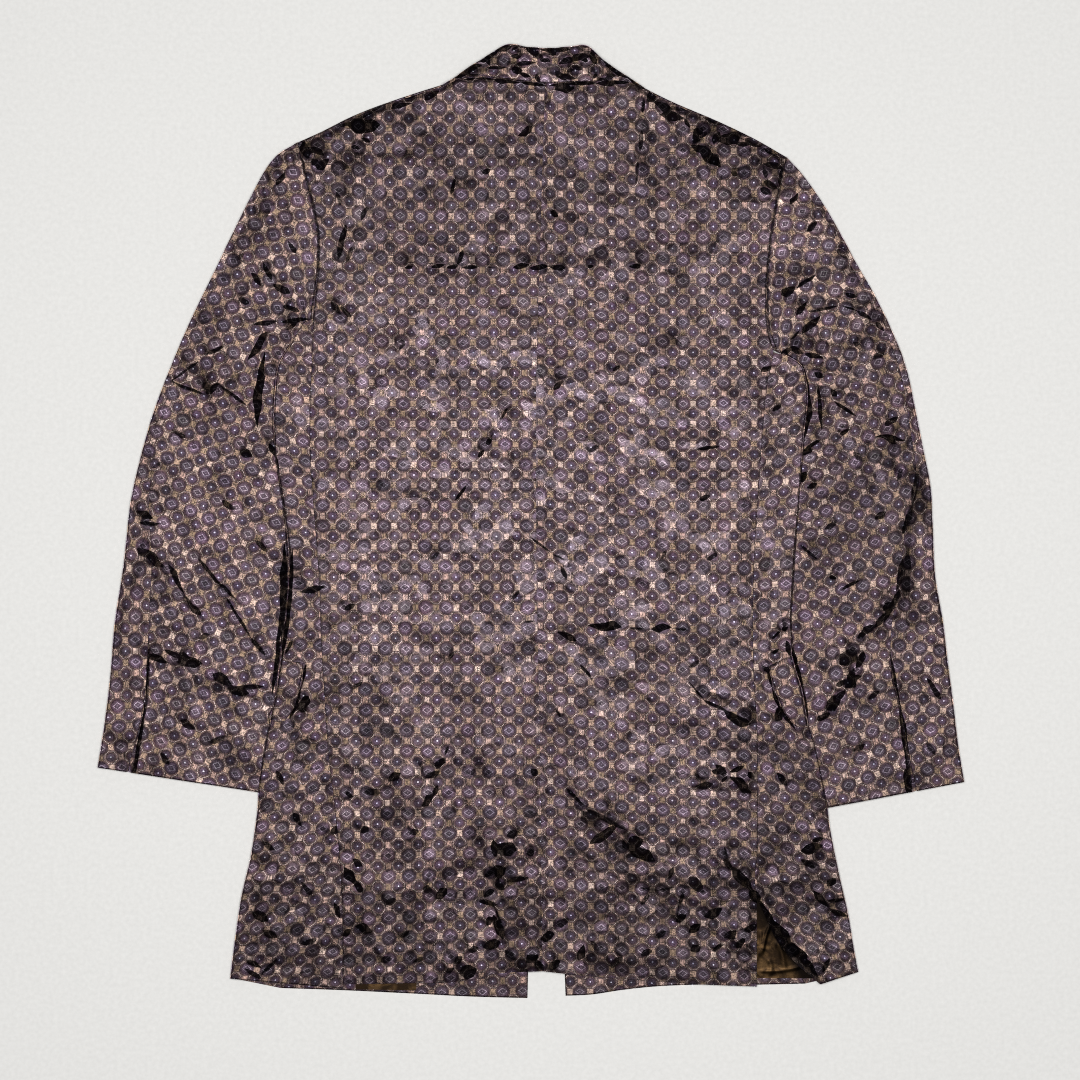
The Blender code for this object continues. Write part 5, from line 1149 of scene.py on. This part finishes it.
def lining(side, plain=False):
    a, b, c, d = (np.array(e, float) for e in LINING_PATCH[side])
    u = np.linspace(0, 1, 60)[None, :, None]
    v = np.linspace(0, 1, 70)[:, None, None]
    xy = (a * (1 - u) + b * u) * (1 - v) + (d * (1 - u) + c * u) * v
    z = np.full(xy.shape[:2], CLOTH + LIE_GAP + 0.9)
    if not plain:
        for f in LINING_FOLDS:
            way = np.array([f.x1 - f.x0, f.y1 - f.y0])
            size = np.hypot(*way)
            from_start = xy - np.array([f.x0, f.y0])
            t = from_start @ way / size**2
            off = (from_start[..., 0] * way[1] - from_start[..., 1] * way[0]) / size + 1.2 * np.sin(5 * t + f.x0)
            z = z + f.rise * np.exp(-((off / f.half_width) ** 2)) * ease(t * 5) * ease((1 - t) * 5)
    return with_height(xy, z), xy


# ---------------------------------------------------------------- materials
class Shader:
    """A few words for wiring a material's nodes."""

    def __init__(self, name):
        self.material = bpy.data.materials.new(name)
        self.material.use_nodes = True
        self.tree = self.material.node_tree
        self.tree.nodes.clear()

    def node(self, kind, settings=(), **inputs):
        made = self.tree.nodes.new(kind)
        for key, value in dict(settings).items():
            setattr(made, key, value)
        for key, value in inputs.items():
            self.put(made, key.replace("_", " "), value)
        return made

    def put(self, node, key, value):
        socket = node.inputs[int(key[1:])] if key.startswith("i") and key[1:].isdigit() else node.inputs[key]
        if isinstance(value, bpy.types.NodeSocket):
            self.tree.links.new(value, socket)
        else:
            socket.default_value = value

    def math(self, op, a, b=None, c=None):
        made = self.tree.nodes.new("ShaderNodeMath")
        made.operation = op
        for i, value in enumerate((a, b, c)):
            if value is not None:
                self.put(made, f"i{i}", value)
        return made.outputs[0]

    def mix(self, share, a, b):
        made = self.tree.nodes.new("ShaderNodeMix")
        made.data_type = "RGBA"
        self.put(made, "i0", share)
        self.put(made, "i6", a)
        self.put(made, "i7", b)
        return made.outputs[2]

    def below(self, value, edge, soft):
        """1 where value is under edge, easing to 0 over soft on both sides."""
        made = self.tree.nodes.new("ShaderNodeMapRange")
        made.interpolation_type = "SMOOTHSTEP"
        for key, v in (("i0", value), ("i1", edge - soft), ("i2", edge + soft), ("i3", 1.0), ("i4", 0.0)):
            self.put(made, key, v)
        return made.outputs[0]

    def ring(self, value, middle, half, soft):
        away = self.math("ABSOLUTE", self.math("SUBTRACT", value, middle))
        return self.below(away, half, soft)


def rgb(r, g, b):
    """Screen colour, 0 to 255, as scene light."""
    c = np.array([r, g, b]) / 255
    c = np.where(c <= 0.04045, c / 12.92, ((c + 0.055) / 1.055) ** 2.4)
    return (*c.tolist(), 1.0)


def satin(name):
    """Silky weave: discs with lozenges and dots, and tan squares between dotted outlines."""
    s = Shader(name)
    uv = s.node("ShaderNodeUVMap", {"uv_map": "weave"}).outputs[0]
    apart = s.node("ShaderNodeSeparateXYZ", Vector=uv)
    u, v = apart.outputs[0], apart.outputs[1]
    # the threads are not quite straight
    wander = s.node("ShaderNodeTexNoise", {"noise_dimensions": "2D"}, Vector=uv, Scale=1.1, Detail=2.0)
    shift = s.node("ShaderNodeSeparateColor", Color=wander.outputs["Color"])
    u = s.math("ADD", u, s.math("MULTIPLY", s.math("SUBTRACT", shift.outputs[0], 0.5), 0.10))
    v = s.math("ADD", v, s.math("MULTIPLY", s.math("SUBTRACT", shift.outputs[1], 0.5), 0.10))

    def cell(offset_u, offset_v):
        a = s.math("SUBTRACT", s.math("FRACT", s.math("ADD", u, offset_u)), 0.5)
        b = s.math("SUBTRACT", s.math("FRACT", s.math("ADD", v, offset_v)), 0.5)
        number = s.node("ShaderNodeCombineXYZ", X=s.math("FLOOR", s.math("ADD", u, offset_u)),
                        Y=s.math("FLOOR", s.math("ADD", v, offset_v)), Z=offset_u * 3 + offset_v)
        luck = s.node("ShaderNodeTexWhiteNoise", {"noise_dimensions": "3D"}, Vector=number.outputs[0])
        return a, b, s.math("ABSOLUTE", a), s.math("ABSOLUTE", b), luck.outputs["Value"], luck.outputs["Color"]

    def dyed(color, luck, much=1.0):
        """A motif's colour, a little redder or bluer by luck."""
        tint = s.node("ShaderNodeVectorMath", {"operation": "MULTIPLY_ADD"}, i0=luck, i1=(0.10 * much, 0.09 * much, 0.16 * much),
                      i2=(1 - 0.05 * much, 1 - 0.045 * much, 1 - 0.08 * much))
        return s.node("ShaderNodeVectorMath", {"operation": "MULTIPLY"}, i0=color, i1=tint.outputs[0]).outputs[0]

    def octagon(a, b):
        return s.math("MAXIMUM", s.math("MAXIMUM", a, b), s.math("MULTIPLY", s.math("ADD", a, b), 0.7071))

    def radius(a, b):
        return s.math("SQRT", s.math("ADD", s.math("MULTIPLY", a, a), s.math("MULTIPLY", b, b)))

    def lobes(a, b, count, phase=0.0):
        turn = s.math("ARCTAN2", b, a)
        return s.math("COSINE", s.math("MULTIPLY_ADD", turn, float(count), phase))

    big_a, big_b, big_x, big_y, big_luck, big_dye = cell(0.5, 0.5)
    small_a, small_b, small_x, small_y, small_luck, small_dye = cell(0.0, 0.0)
    _, _, tan_x, tan_y, tan_luck, _ = cell(0.0, 0.5)
    _, _, pink_x, pink_y, pink_luck, _ = cell(0.5, 0.0)

    color = GROUND
    # dotted outlines, strongest on the slanting sides
    for a, b, x, y, edge, count, strength in ((big_a, big_b, big_x, big_y, 0.402, 24, 0.5),
                                              (small_a, small_b, small_x, small_y, 0.298, 20, 1.0)):
        slant = s.below(s.math("SUBTRACT", s.math("MAXIMUM", x, y), s.math("MULTIPLY", s.math("ADD", x, y), 0.7071)), 0.0, 0.03)
        dots = s.math("MULTIPLY_ADD", lobes(a, b, count), 0.5 * strength, 0.5 * strength)
        line = s.math("MULTIPLY", s.ring(octagon(x, y), edge, 0.008, 0.006), dots)
        color = s.mix(s.math("MULTIPLY", line, s.math("MULTIPLY_ADD", slant, 0.55, 0.45)), color, OUTLINE)
    # squares
    for x, y, half_x, half_y, tint, luck in ((tan_x, tan_y, 0.134, 0.142, TAN, tan_luck),
                                             (pink_x, pink_y, 0.116, 0.132, PINK, pink_luck)):
        inside = s.below(s.math("MAXIMUM", s.math("MULTIPLY", x, 1 / half_x), s.math("MULTIPLY", y, 1 / half_y)), 0.97, 0.07)
        bright = s.mix(s.math("MULTIPLY", s.math("POWER", luck, 4.0), 0.7), tint, LIGHT_TAN)
        color = s.mix(inside, color, s.mix(s.below(luck, 0.35, 0.15), bright, OLIVE))
    # large medallions, a little wider than tall
    reach = radius(big_a, s.math("MULTIPLY", big_b, 1.07))
    edge = s.math("MULTIPLY_ADD", lobes(big_a, big_b, 20), -0.012, reach)
    disc = s.below(edge, 0.342, 0.014)
    core = s.mix(s.below(reach, 0.252, 0.045), DISC_RIM, DISC)
    lozenge = s.math("ADD", s.math("MULTIPLY", big_x, 1.0 / 0.212), s.math("MULTIPLY", big_y, 1.0 / 0.150))
    core = s.mix(s.below(lozenge, 0.80, 0.16), core, DISC_HEART)
    core = s.mix(s.math("MULTIPLY", s.ring(lozenge, 1.0, 0.10, 0.09), 0.9), core, LOZENGE)
    core = s.mix(s.math("MULTIPLY", s.below(reach, 0.026, 0.014), 0.4), core, LOZENGE)
    color = s.mix(disc, color, dyed(core, big_dye))
    # small roundels
    reach_s = radius(small_a, s.math("MULTIPLY", small_b, 1.06))
    disc_s = s.below(s.math("MULTIPLY_ADD", lobes(small_a, small_b, 14), -0.010, reach_s), 0.240, 0.014)
    core = s.mix(s.below(reach_s, 0.165, 0.04), DISC_RIM, ROUNDEL)
    core = s.mix(s.below(reach_s, 0.036, 0.018), core, DOT)
    color = s.mix(disc_s, color, dyed(core, small_dye))

    # threads: each pick takes the light and the dye differently, so the weave sparkles
    grain = s.node("ShaderNodeMapping", Vector=uv, Scale=(20.0, 18.0, 1.0))
    thread = s.node("ShaderNodeTexNoise", {"noise_dimensions": "2D"}, Vector=grain.outputs[0], Scale=1.0, Detail=1.0)
    counted = s.node("ShaderNodeMapping", Vector=uv, Scale=(21.0, 19.0, 1.0))
    picks = s.node("ShaderNodeVectorMath", {"operation": "FLOOR"}, i0=counted.outputs[0])
    pick = s.node("ShaderNodeTexWhiteNoise", {"noise_dimensions": "2D"}, Vector=picks.outputs[0])
    threads = dyed(color, pick.outputs["Color"], 0.45)
    calm = s.math("MULTIPLY_ADD", s.math("MAXIMUM", disc, disc_s), -0.6, 1.5)
    speck = s.math("MULTIPLY_ADD", s.math("SUBTRACT", pick.outputs["Value"], 0.5), calm, 1.0)
    # and so does each motif
    luck = s.mix(disc, s.mix(disc_s, 0.5 * np.ones(4), small_luck), big_luck)
    tone = s.math("MULTIPLY", speck, s.math("MULTIPLY_ADD", luck, 0.6, 0.70))

    # crushed cloth: small flat facets, each tilted its own way
    warp = s.node("ShaderNodeTexNoise", {"noise_dimensions": "2D"}, Vector=uv, Scale=0.9, Detail=1.0)
    bent = s.node("ShaderNodeVectorMath", {"operation": "MULTIPLY_ADD"}, i0=warp.outputs["Color"], i1=(0.8, 0.8, 0.0), i2=uv)
    tilts, painted_highlight_gain = [], 1.0
    painted_glint = s.node("ShaderNodeAttribute", {"attribute_name": "painted_glint"}).outputs["Fac"]
    for scale, turn, stretch, amount, light in ((1.15, 0.8, 1.6, 0.42, 2.1), (2.3, -0.7, 1.7, 0.28, 1.1)):
        place = s.node("ShaderNodeMapping", Vector=bent.outputs[0], Rotation=(0, 0, turn), Scale=(scale, scale * stretch, 1.0))
        facet = s.node("ShaderNodeTexVoronoi", {"voronoi_dimensions": "2D"}, Vector=place.outputs[0], Scale=1.0)
        middle = s.node("ShaderNodeVectorMath", {"operation": "SUBTRACT"}, i0=facet.outputs["Color"], i1=(0.5, 0.5, 0.5))
        tilts.append(s.node("ShaderNodeVectorMath", {"operation": "MULTIPLY"}, i0=middle.outputs[0],
                            i1=(amount, amount, 0.0)).outputs[0])
        # painted highlight: a few of them are brightened in the colour and paled toward a light lavender, as if they
        # caught the light
        third = s.node("ShaderNodeSeparateXYZ", Vector=middle.outputs[0]).outputs[2]
        lit = s.math("MAXIMUM", s.math("SUBTRACT", third, 0.14), 0.0)
        painted_highlight_gain = s.math("MULTIPLY_ADD", s.math("MULTIPLY", lit, light), painted_glint, painted_highlight_gain)
    pale = s.mix(s.math("MULTIPLY", s.math("SUBTRACT", painted_highlight_gain, 1.0), 0.40), threads, SHEEN)
    # painted light and shade: soft patches of brighter and darker colour stand for the satin's uneven lustre,
    # multiplied by the light and shade painted region by region
    painted_mottle = s.node("ShaderNodeTexNoise", {"noise_dimensions": "2D"}, Vector=uv, Scale=0.85, Detail=2.0, Roughness=0.6)
    sheen = s.math("MULTIPLY_ADD", s.math("SUBTRACT", painted_mottle.outputs[0], 0.5), 1.15, 1.0)
    sheen = s.math("MULTIPLY", sheen, s.node("ShaderNodeAttribute", {"attribute_name": "sheen"}).outputs["Fac"])
    shade = s.node("ShaderNodeVectorMath", {"operation": "SCALE"}, i0=pale,
                   Scale=s.math("MULTIPLY", s.math("MULTIPLY", tone, sheen), painted_highlight_gain))
    tilt = s.node("ShaderNodeVectorMath", {"operation": "ADD"}, i0=tilts[0], i1=tilts[1])
    crush = s.node("ShaderNodeAttribute", {"attribute_name": "crush"}).outputs["Fac"]
    tilt = s.node("ShaderNodeVectorMath", {"operation": "SCALE"}, i0=tilt.outputs[0], Scale=crush)
    up = s.node("ShaderNodeTexCoord").outputs["Normal"]
    up = s.node("ShaderNodeVectorMath", {"operation": "ADD"}, i0=up, i1=tilt.outputs[0])
    # the creases' leaves
    leaf = s.below(s.node("ShaderNodeAttribute", {"attribute_name": "leaf"}).outputs["Fac"], 0.0, 0.28)
    lean = s.node("ShaderNodeAttribute", {"attribute_name": "lean"}).outputs["Vector"]
    up = s.node("ShaderNodeMix", {"data_type": "VECTOR"}, i0=leaf, i4=lean, i5=up.outputs[0])
    up = s.node("ShaderNodeVectorMath", {"operation": "NORMALIZE"}, i0=up.outputs[1])

    weave = s.node("ShaderNodeMapping", Vector=uv, Scale=(30.0, 30.0, 1.0), Rotation=(0, 0, 0.6))
    twill = s.node("ShaderNodeTexWave", {"wave_type": "BANDS"}, Vector=weave.outputs[0], Scale=0.35, Distortion=1.5)
    relief = s.math("ADD", s.math("MULTIPLY", twill.outputs["Fac"], 0.5), s.math("MULTIPLY", thread.outputs[0], 0.8))
    bump = s.node("ShaderNodeBump", Height=relief, Strength=0.16, Distance=0.0004, Normal=up.outputs[0])
    rough = s.math("MULTIPLY_ADD", s.math("MAXIMUM", disc, disc_s), -0.04, 0.42)
    # the fine fibres show the colours from low angles, but not in the folds
    nap = s.node("ShaderNodeVectorMath", {"operation": "SCALE"}, i0=shade.outputs[0], Scale=NAP)
    surface = s.node("ShaderNodeBsdfPrincipled", Normal=bump.outputs[0], Roughness=rough, Metallic=0.94,
                     Sheen_Weight=leaf, Sheen_Roughness=0.5)
    s.tree.links.new(nap.outputs[0], surface.inputs["Sheen Tint"])
    s.tree.links.new(shade.outputs[0], surface.inputs["Base Color"])
    out = s.node("ShaderNodeOutputMaterial")
    s.tree.links.new(surface.outputs[0], out.inputs[0])
    return s.material


TONE = 0.25
NAP = 20.0
GROUND = tuple(TONE * c for c in rgb(97, 78, 75)[:3]) + (1.0,)
OUTLINE = tuple(TONE * c for c in rgb(250, 234, 230)[:3]) + (1.0,)
TAN = tuple(TONE * c for c in rgb(164, 137, 121)[:3]) + (1.0,)
PINK = tuple(TONE * c for c in rgb(166, 135, 125)[:3]) + (1.0,)
OLIVE = tuple(TONE * c for c in rgb(142, 120, 101)[:3]) + (1.0,)
LIGHT_TAN = tuple(TONE * c for c in rgb(224, 201, 190)[:3]) + (1.0,)
DISC = tuple(TONE * c for c in rgb(84, 69, 81)[:3]) + (1.0,)
DISC_RIM = tuple(TONE * c for c in rgb(62, 46, 54)[:3]) + (1.0,)
DISC_HEART = tuple(TONE * c for c in rgb(72, 60, 71)[:3]) + (1.0,)
ROUNDEL = tuple(TONE * c for c in rgb(71, 57, 72)[:3]) + (1.0,)
LOZENGE = tuple(TONE * c for c in rgb(166, 154, 166)[:3]) + (1.0,)
DOT = tuple(TONE * c for c in rgb(208, 205, 226)[:3]) + (1.0,)
# painted highlight colour that the glinting facets are paled toward
SHEEN = tuple(TONE * c for c in rgb(150, 138, 147)[:3]) + (1.0,)


DEEP = -0.827 * 0.2034 + 0.562 * 0.3383  # the edge's place along the way into the vent, m


def lining_cloth():
    s = Shader("lining_satin")
    place = s.node("ShaderNodeTexCoord").outputs["Object"]
    grain = s.node("ShaderNodeMapping", Vector=place, Scale=(900.0, 900.0, 900.0))
    fine = s.node("ShaderNodeTexNoise", Vector=grain.outputs[0], Scale=1.0, Detail=2.0)
    # painted light and shade: soft darker and lighter streaks in the colour stand for the lining's folds losing and
    # catching the light
    folds = s.node("ShaderNodeTexNoise", Vector=place, Scale=75.0, Detail=3.0, Distortion=1.2)
    color = s.mix(s.below(folds.outputs[0], 0.47, 0.15), rgb(22, 15, 9), rgb(60, 45, 28))
    color = s.mix(s.math("MULTIPLY", fine.outputs[0], 0.5), color, rgb(12, 8, 5))
    # painted shadow: the lining turns near black near the side panel's edge, out to about 11 mm from it, where that
    # edge shades it
    away = s.node("ShaderNodeVectorMath", {"operation": "DOT_PRODUCT"}, i0=place, i1=(-0.827, -0.562, 0.0))
    painted_shadow = s.below(away.outputs["Value"], DEEP + 0.011, 0.007)
    color = s.mix(painted_shadow, color, rgb(7, 5, 4))
    bump = s.node("ShaderNodeBump", Height=fine.outputs[0], Strength=0.1, Distance=0.0003)
    surface = s.node("ShaderNodeBsdfPrincipled", Roughness=0.36, Metallic=1.0, Normal=bump.outputs[0])
    s.tree.links.new(color, surface.inputs["Base Color"])
    out = s.node("ShaderNodeOutputMaterial")
    s.tree.links.new(surface.outputs[0], out.inputs[0])
    return s.material


def floor_paint():
    s = Shader("pale_floor")
    place = s.node("ShaderNodeTexCoord").outputs["Object"]
    speck = s.node("ShaderNodeTexNoise", Vector=place, Scale=260.0, Detail=3.0)
    color = s.mix(speck.outputs[0], rgb(206, 206, 204), rgb(222, 222, 220))
    surface = s.node("ShaderNodeBsdfPrincipled", Roughness=0.95)
    s.tree.links.new(color, surface.inputs["Base Color"])
    out = s.node("ShaderNodeOutputMaterial")
    s.tree.links.new(surface.outputs[0], out.inputs[0])
    return s.material


# ---------------------------------------------------------------- building
def mark(mesh, points, lie, top):
    """Tells the material where the leaves are, which way they face, how crushed the cloth is, and where highlights,
    light and shade are painted into its colour.
    """
    flat = points.reshape(-1, 3)
    leaf, lean = np.full(len(flat), -9.0), np.tile([0.0, 0.0, 1.0], (len(flat), 1))

    def spread(table):
        amount, places = table[lie]
        return amount + sum(c.amount * np.exp(-(((flat[:, 0] - c.x) / c.half_width) ** 2)
                                              - ((flat[:, 1] - c.y) / c.half_length) ** 2) for c in places) * np.ones(len(flat))

    if lie:
        inside, lean = DRAPE[lie].facing(flat[:, :2])
        leaf = np.where(flat[:, 2] > top, inside, -9.0)
    for name, kind, values, key in (("crush", "FLOAT", spread(CRUSHED), "value"), ("painted_glint", "FLOAT", spread(PAINTED_GLINTS), "value"),
                                    ("sheen", "FLOAT", spread(PAINTED_LIGHT_AND_SHADE), "value"), ("leaf", "FLOAT", leaf, "value"),
                                    ("lean", "FLOAT_VECTOR", lean, "vector")):
        layer = mesh.attributes.new(name, kind, "POINT")
        layer.data.foreach_set(key, np.ascontiguousarray(values, np.float32).ravel())


def cloth(name, made, mat, plain, thickness=0.0, lie=None, top=4.2):
    """A mesh on the panel's points (rows, columns, 3), with the weave's own coordinates."""
    points, pattern = made
    n_v, n_u = points.shape[:2]
    index = np.arange(n_v * n_u).reshape(n_v, n_u)
    quads = np.stack([index[:-1, :-1], index[1:, :-1], index[1:, 1:], index[:-1, 1:]], -1).reshape(-1, 4)
    a, b, d = points[:-1, :-1], points[1:, :-1], points[:-1, 1:]
    if np.cross(b - a, d - a)[..., 2][: n_v // 2, : max(2, n_u // 3)].sum() < 0:
        quads = quads[:, ::-1]
    mesh = bpy.data.meshes.new(name + "_cloth")
    mesh.from_pydata(((points + ORIGIN) / 1000).reshape(-1, 3).tolist(), [], quads.tolist())
    layer = mesh.uv_layers.new(name="weave")
    corner = np.empty(len(mesh.loops), np.int32)
    mesh.loops.foreach_get("vertex_index", corner)
    layer.data.foreach_set("uv", (pattern.reshape(-1, 2)[corner] / REPEAT).astype(np.float32).ravel())
    mark(mesh, points, lie, top)
    mesh.shade_smooth()
    mesh.materials.append(mat)
    obj = bpy.data.objects.new(name + "_cloth", mesh)
    bpy.context.scene.collection.objects.link(obj)
    if thickness:
        solid = obj.modifiers.new("wall", "SOLIDIFY")
        solid.thickness, solid.offset = thickness / 1000, 0
    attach(obj, "root")
    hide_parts(name)
    size = cut(plain)
    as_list(RESTS[name.rsplit("_", 1)[0]](name))
    return obj


def cut(made):
    """(width, length, area) of the flat cut, in metres, from the smooth panel."""
    points = made[0] / 1000
    across = np.linalg.norm(np.diff(points, axis=1), axis=-1).sum(1).max()
    down = np.linalg.norm(np.diff(points, axis=0), axis=-1).sum(0).max()
    a, b, c, d = points[:-1, :-1], points[1:, :-1], points[1:, 1:], points[:-1, 1:]
    area = (np.linalg.norm(np.cross(b - a, c - a), axis=-1).sum()
            + np.linalg.norm(np.cross(c - a, d - a), axis=-1).sum()) / 2
    return float(across), float(down), float(min(area, across * down))


other = lambda name, piece: f"{piece}_{name.rsplit('_', 1)[1]}"
RESTS = {
    "back": lambda n: [other(n, "front")],
    "side": lambda n: ["floor", other(n, "pocket_flap")],
    "front": lambda n: ["floor", other(n, "lapel"), other(n, "pocket_flap")],
    "sleeve_upper": lambda n: ["floor"],
    "sleeve_under": lambda n: ["floor", other(n, "sleeve_upper")],
    "collar": lambda n: ["back_left", "back_right"],
    "lapel": lambda n: ["floor"],
    "pocket_flap": lambda n: ["floor", other(n, "side")],
    "lining": lambda n: [other(n, "front")],
}

cloth_satin = satin("woven_satin")
cloth_lining = lining_cloth()
for side in ("left", "right"):
    cloth(f"back_{side}", back(side), cloth_satin, back(side, True), lie="body")
    cloth(f"side_{side}", side_panel(side), cloth_satin, side_panel(side, True), lie="body")
    cloth(f"front_{side}", front(side), cloth_satin, front(side, True), 1.2)
    for piece in ("upper", "under"):
        cloth(f"sleeve_{piece}_{side}", sleeve(side, piece), cloth_satin, sleeve(side, piece, True),
              lie="sleeve")
    cloth(f"lapel_{side}", lapel(side), cloth_satin, lapel(side, True), 1.0)
    cloth(f"pocket_flap_{side}", pocket_flap(side), cloth_satin, pocket_flap(side, True))
    cloth(f"lining_{side}", lining(side), cloth_lining, lining(side, True))
cloth("collar", collar(), cloth_satin, collar(True), lie="collar", top=8.4)

# ---------------------------------------------------------------- floor, light, camera
floor_mesh = bpy.data.meshes.new("floor")
floor_mesh.from_pydata([(-4, -4, -0.0004), (4, -4, -0.0004), (4, 4, -0.0004), (-4, 4, -0.0004)], [], [(0, 1, 2, 3)])
floor_mesh.materials.append(floor_paint())
floor = bpy.data.objects.new("floor", floor_mesh)
bpy.context.scene.collection.objects.link(floor)


def lamp(name, place, turn, size, power, color):
    data = bpy.data.lights.new(name, "AREA")
    data.shape, data.size, data.size_y = "RECTANGLE", *size
    data.energy, data.color = power, color
    obj = bpy.data.objects.new(name, data)
    obj.location, obj.rotation_euler = place, np.radians(turn)
    bpy.context.scene.collection.objects.link(obj)
    return obj


lamp("overhead", (0.01, 0.03, 3.1), (0, 0, 0), (1.6, 1.1), 84, (1.0, 0.985, 0.97))
lamp("middle", (0.0, 0.09, 3.0), (0, 0, 0), (1.5, 0.45), 26, (1.0, 0.985, 0.97))

world = bpy.data.worlds.new("studio")
world.use_nodes = True
world.node_tree.nodes["Background"].inputs[0].default_value = (0.9, 0.95, 1.0, 1)
world.node_tree.nodes["Background"].inputs[1].default_value = 0.14
bpy.context.scene.world = world

VIEW = 0.972           # width of the view at the garment, m
DISTANCE = 3.2
camera_data = bpy.data.cameras.new("camera")
camera_data.sensor_width = 36
camera_data.lens = 36 * DISTANCE / VIEW
camera = bpy.data.objects.new("camera", camera_data)
camera.location = (0.00813, -0.01607, 0.0064 + DISTANCE)
bpy.context.scene.collection.objects.link(camera)
bpy.context.scene.camera = camera
bpy.context.scene.view_settings.view_transform = "Standard"
bpy.context.scene.view_settings.look = "None"
bpy.context.scene.cycles.use_denoising = False  # it would smear the threads
bpy.context.scene.cycles.filter_width = 1.0
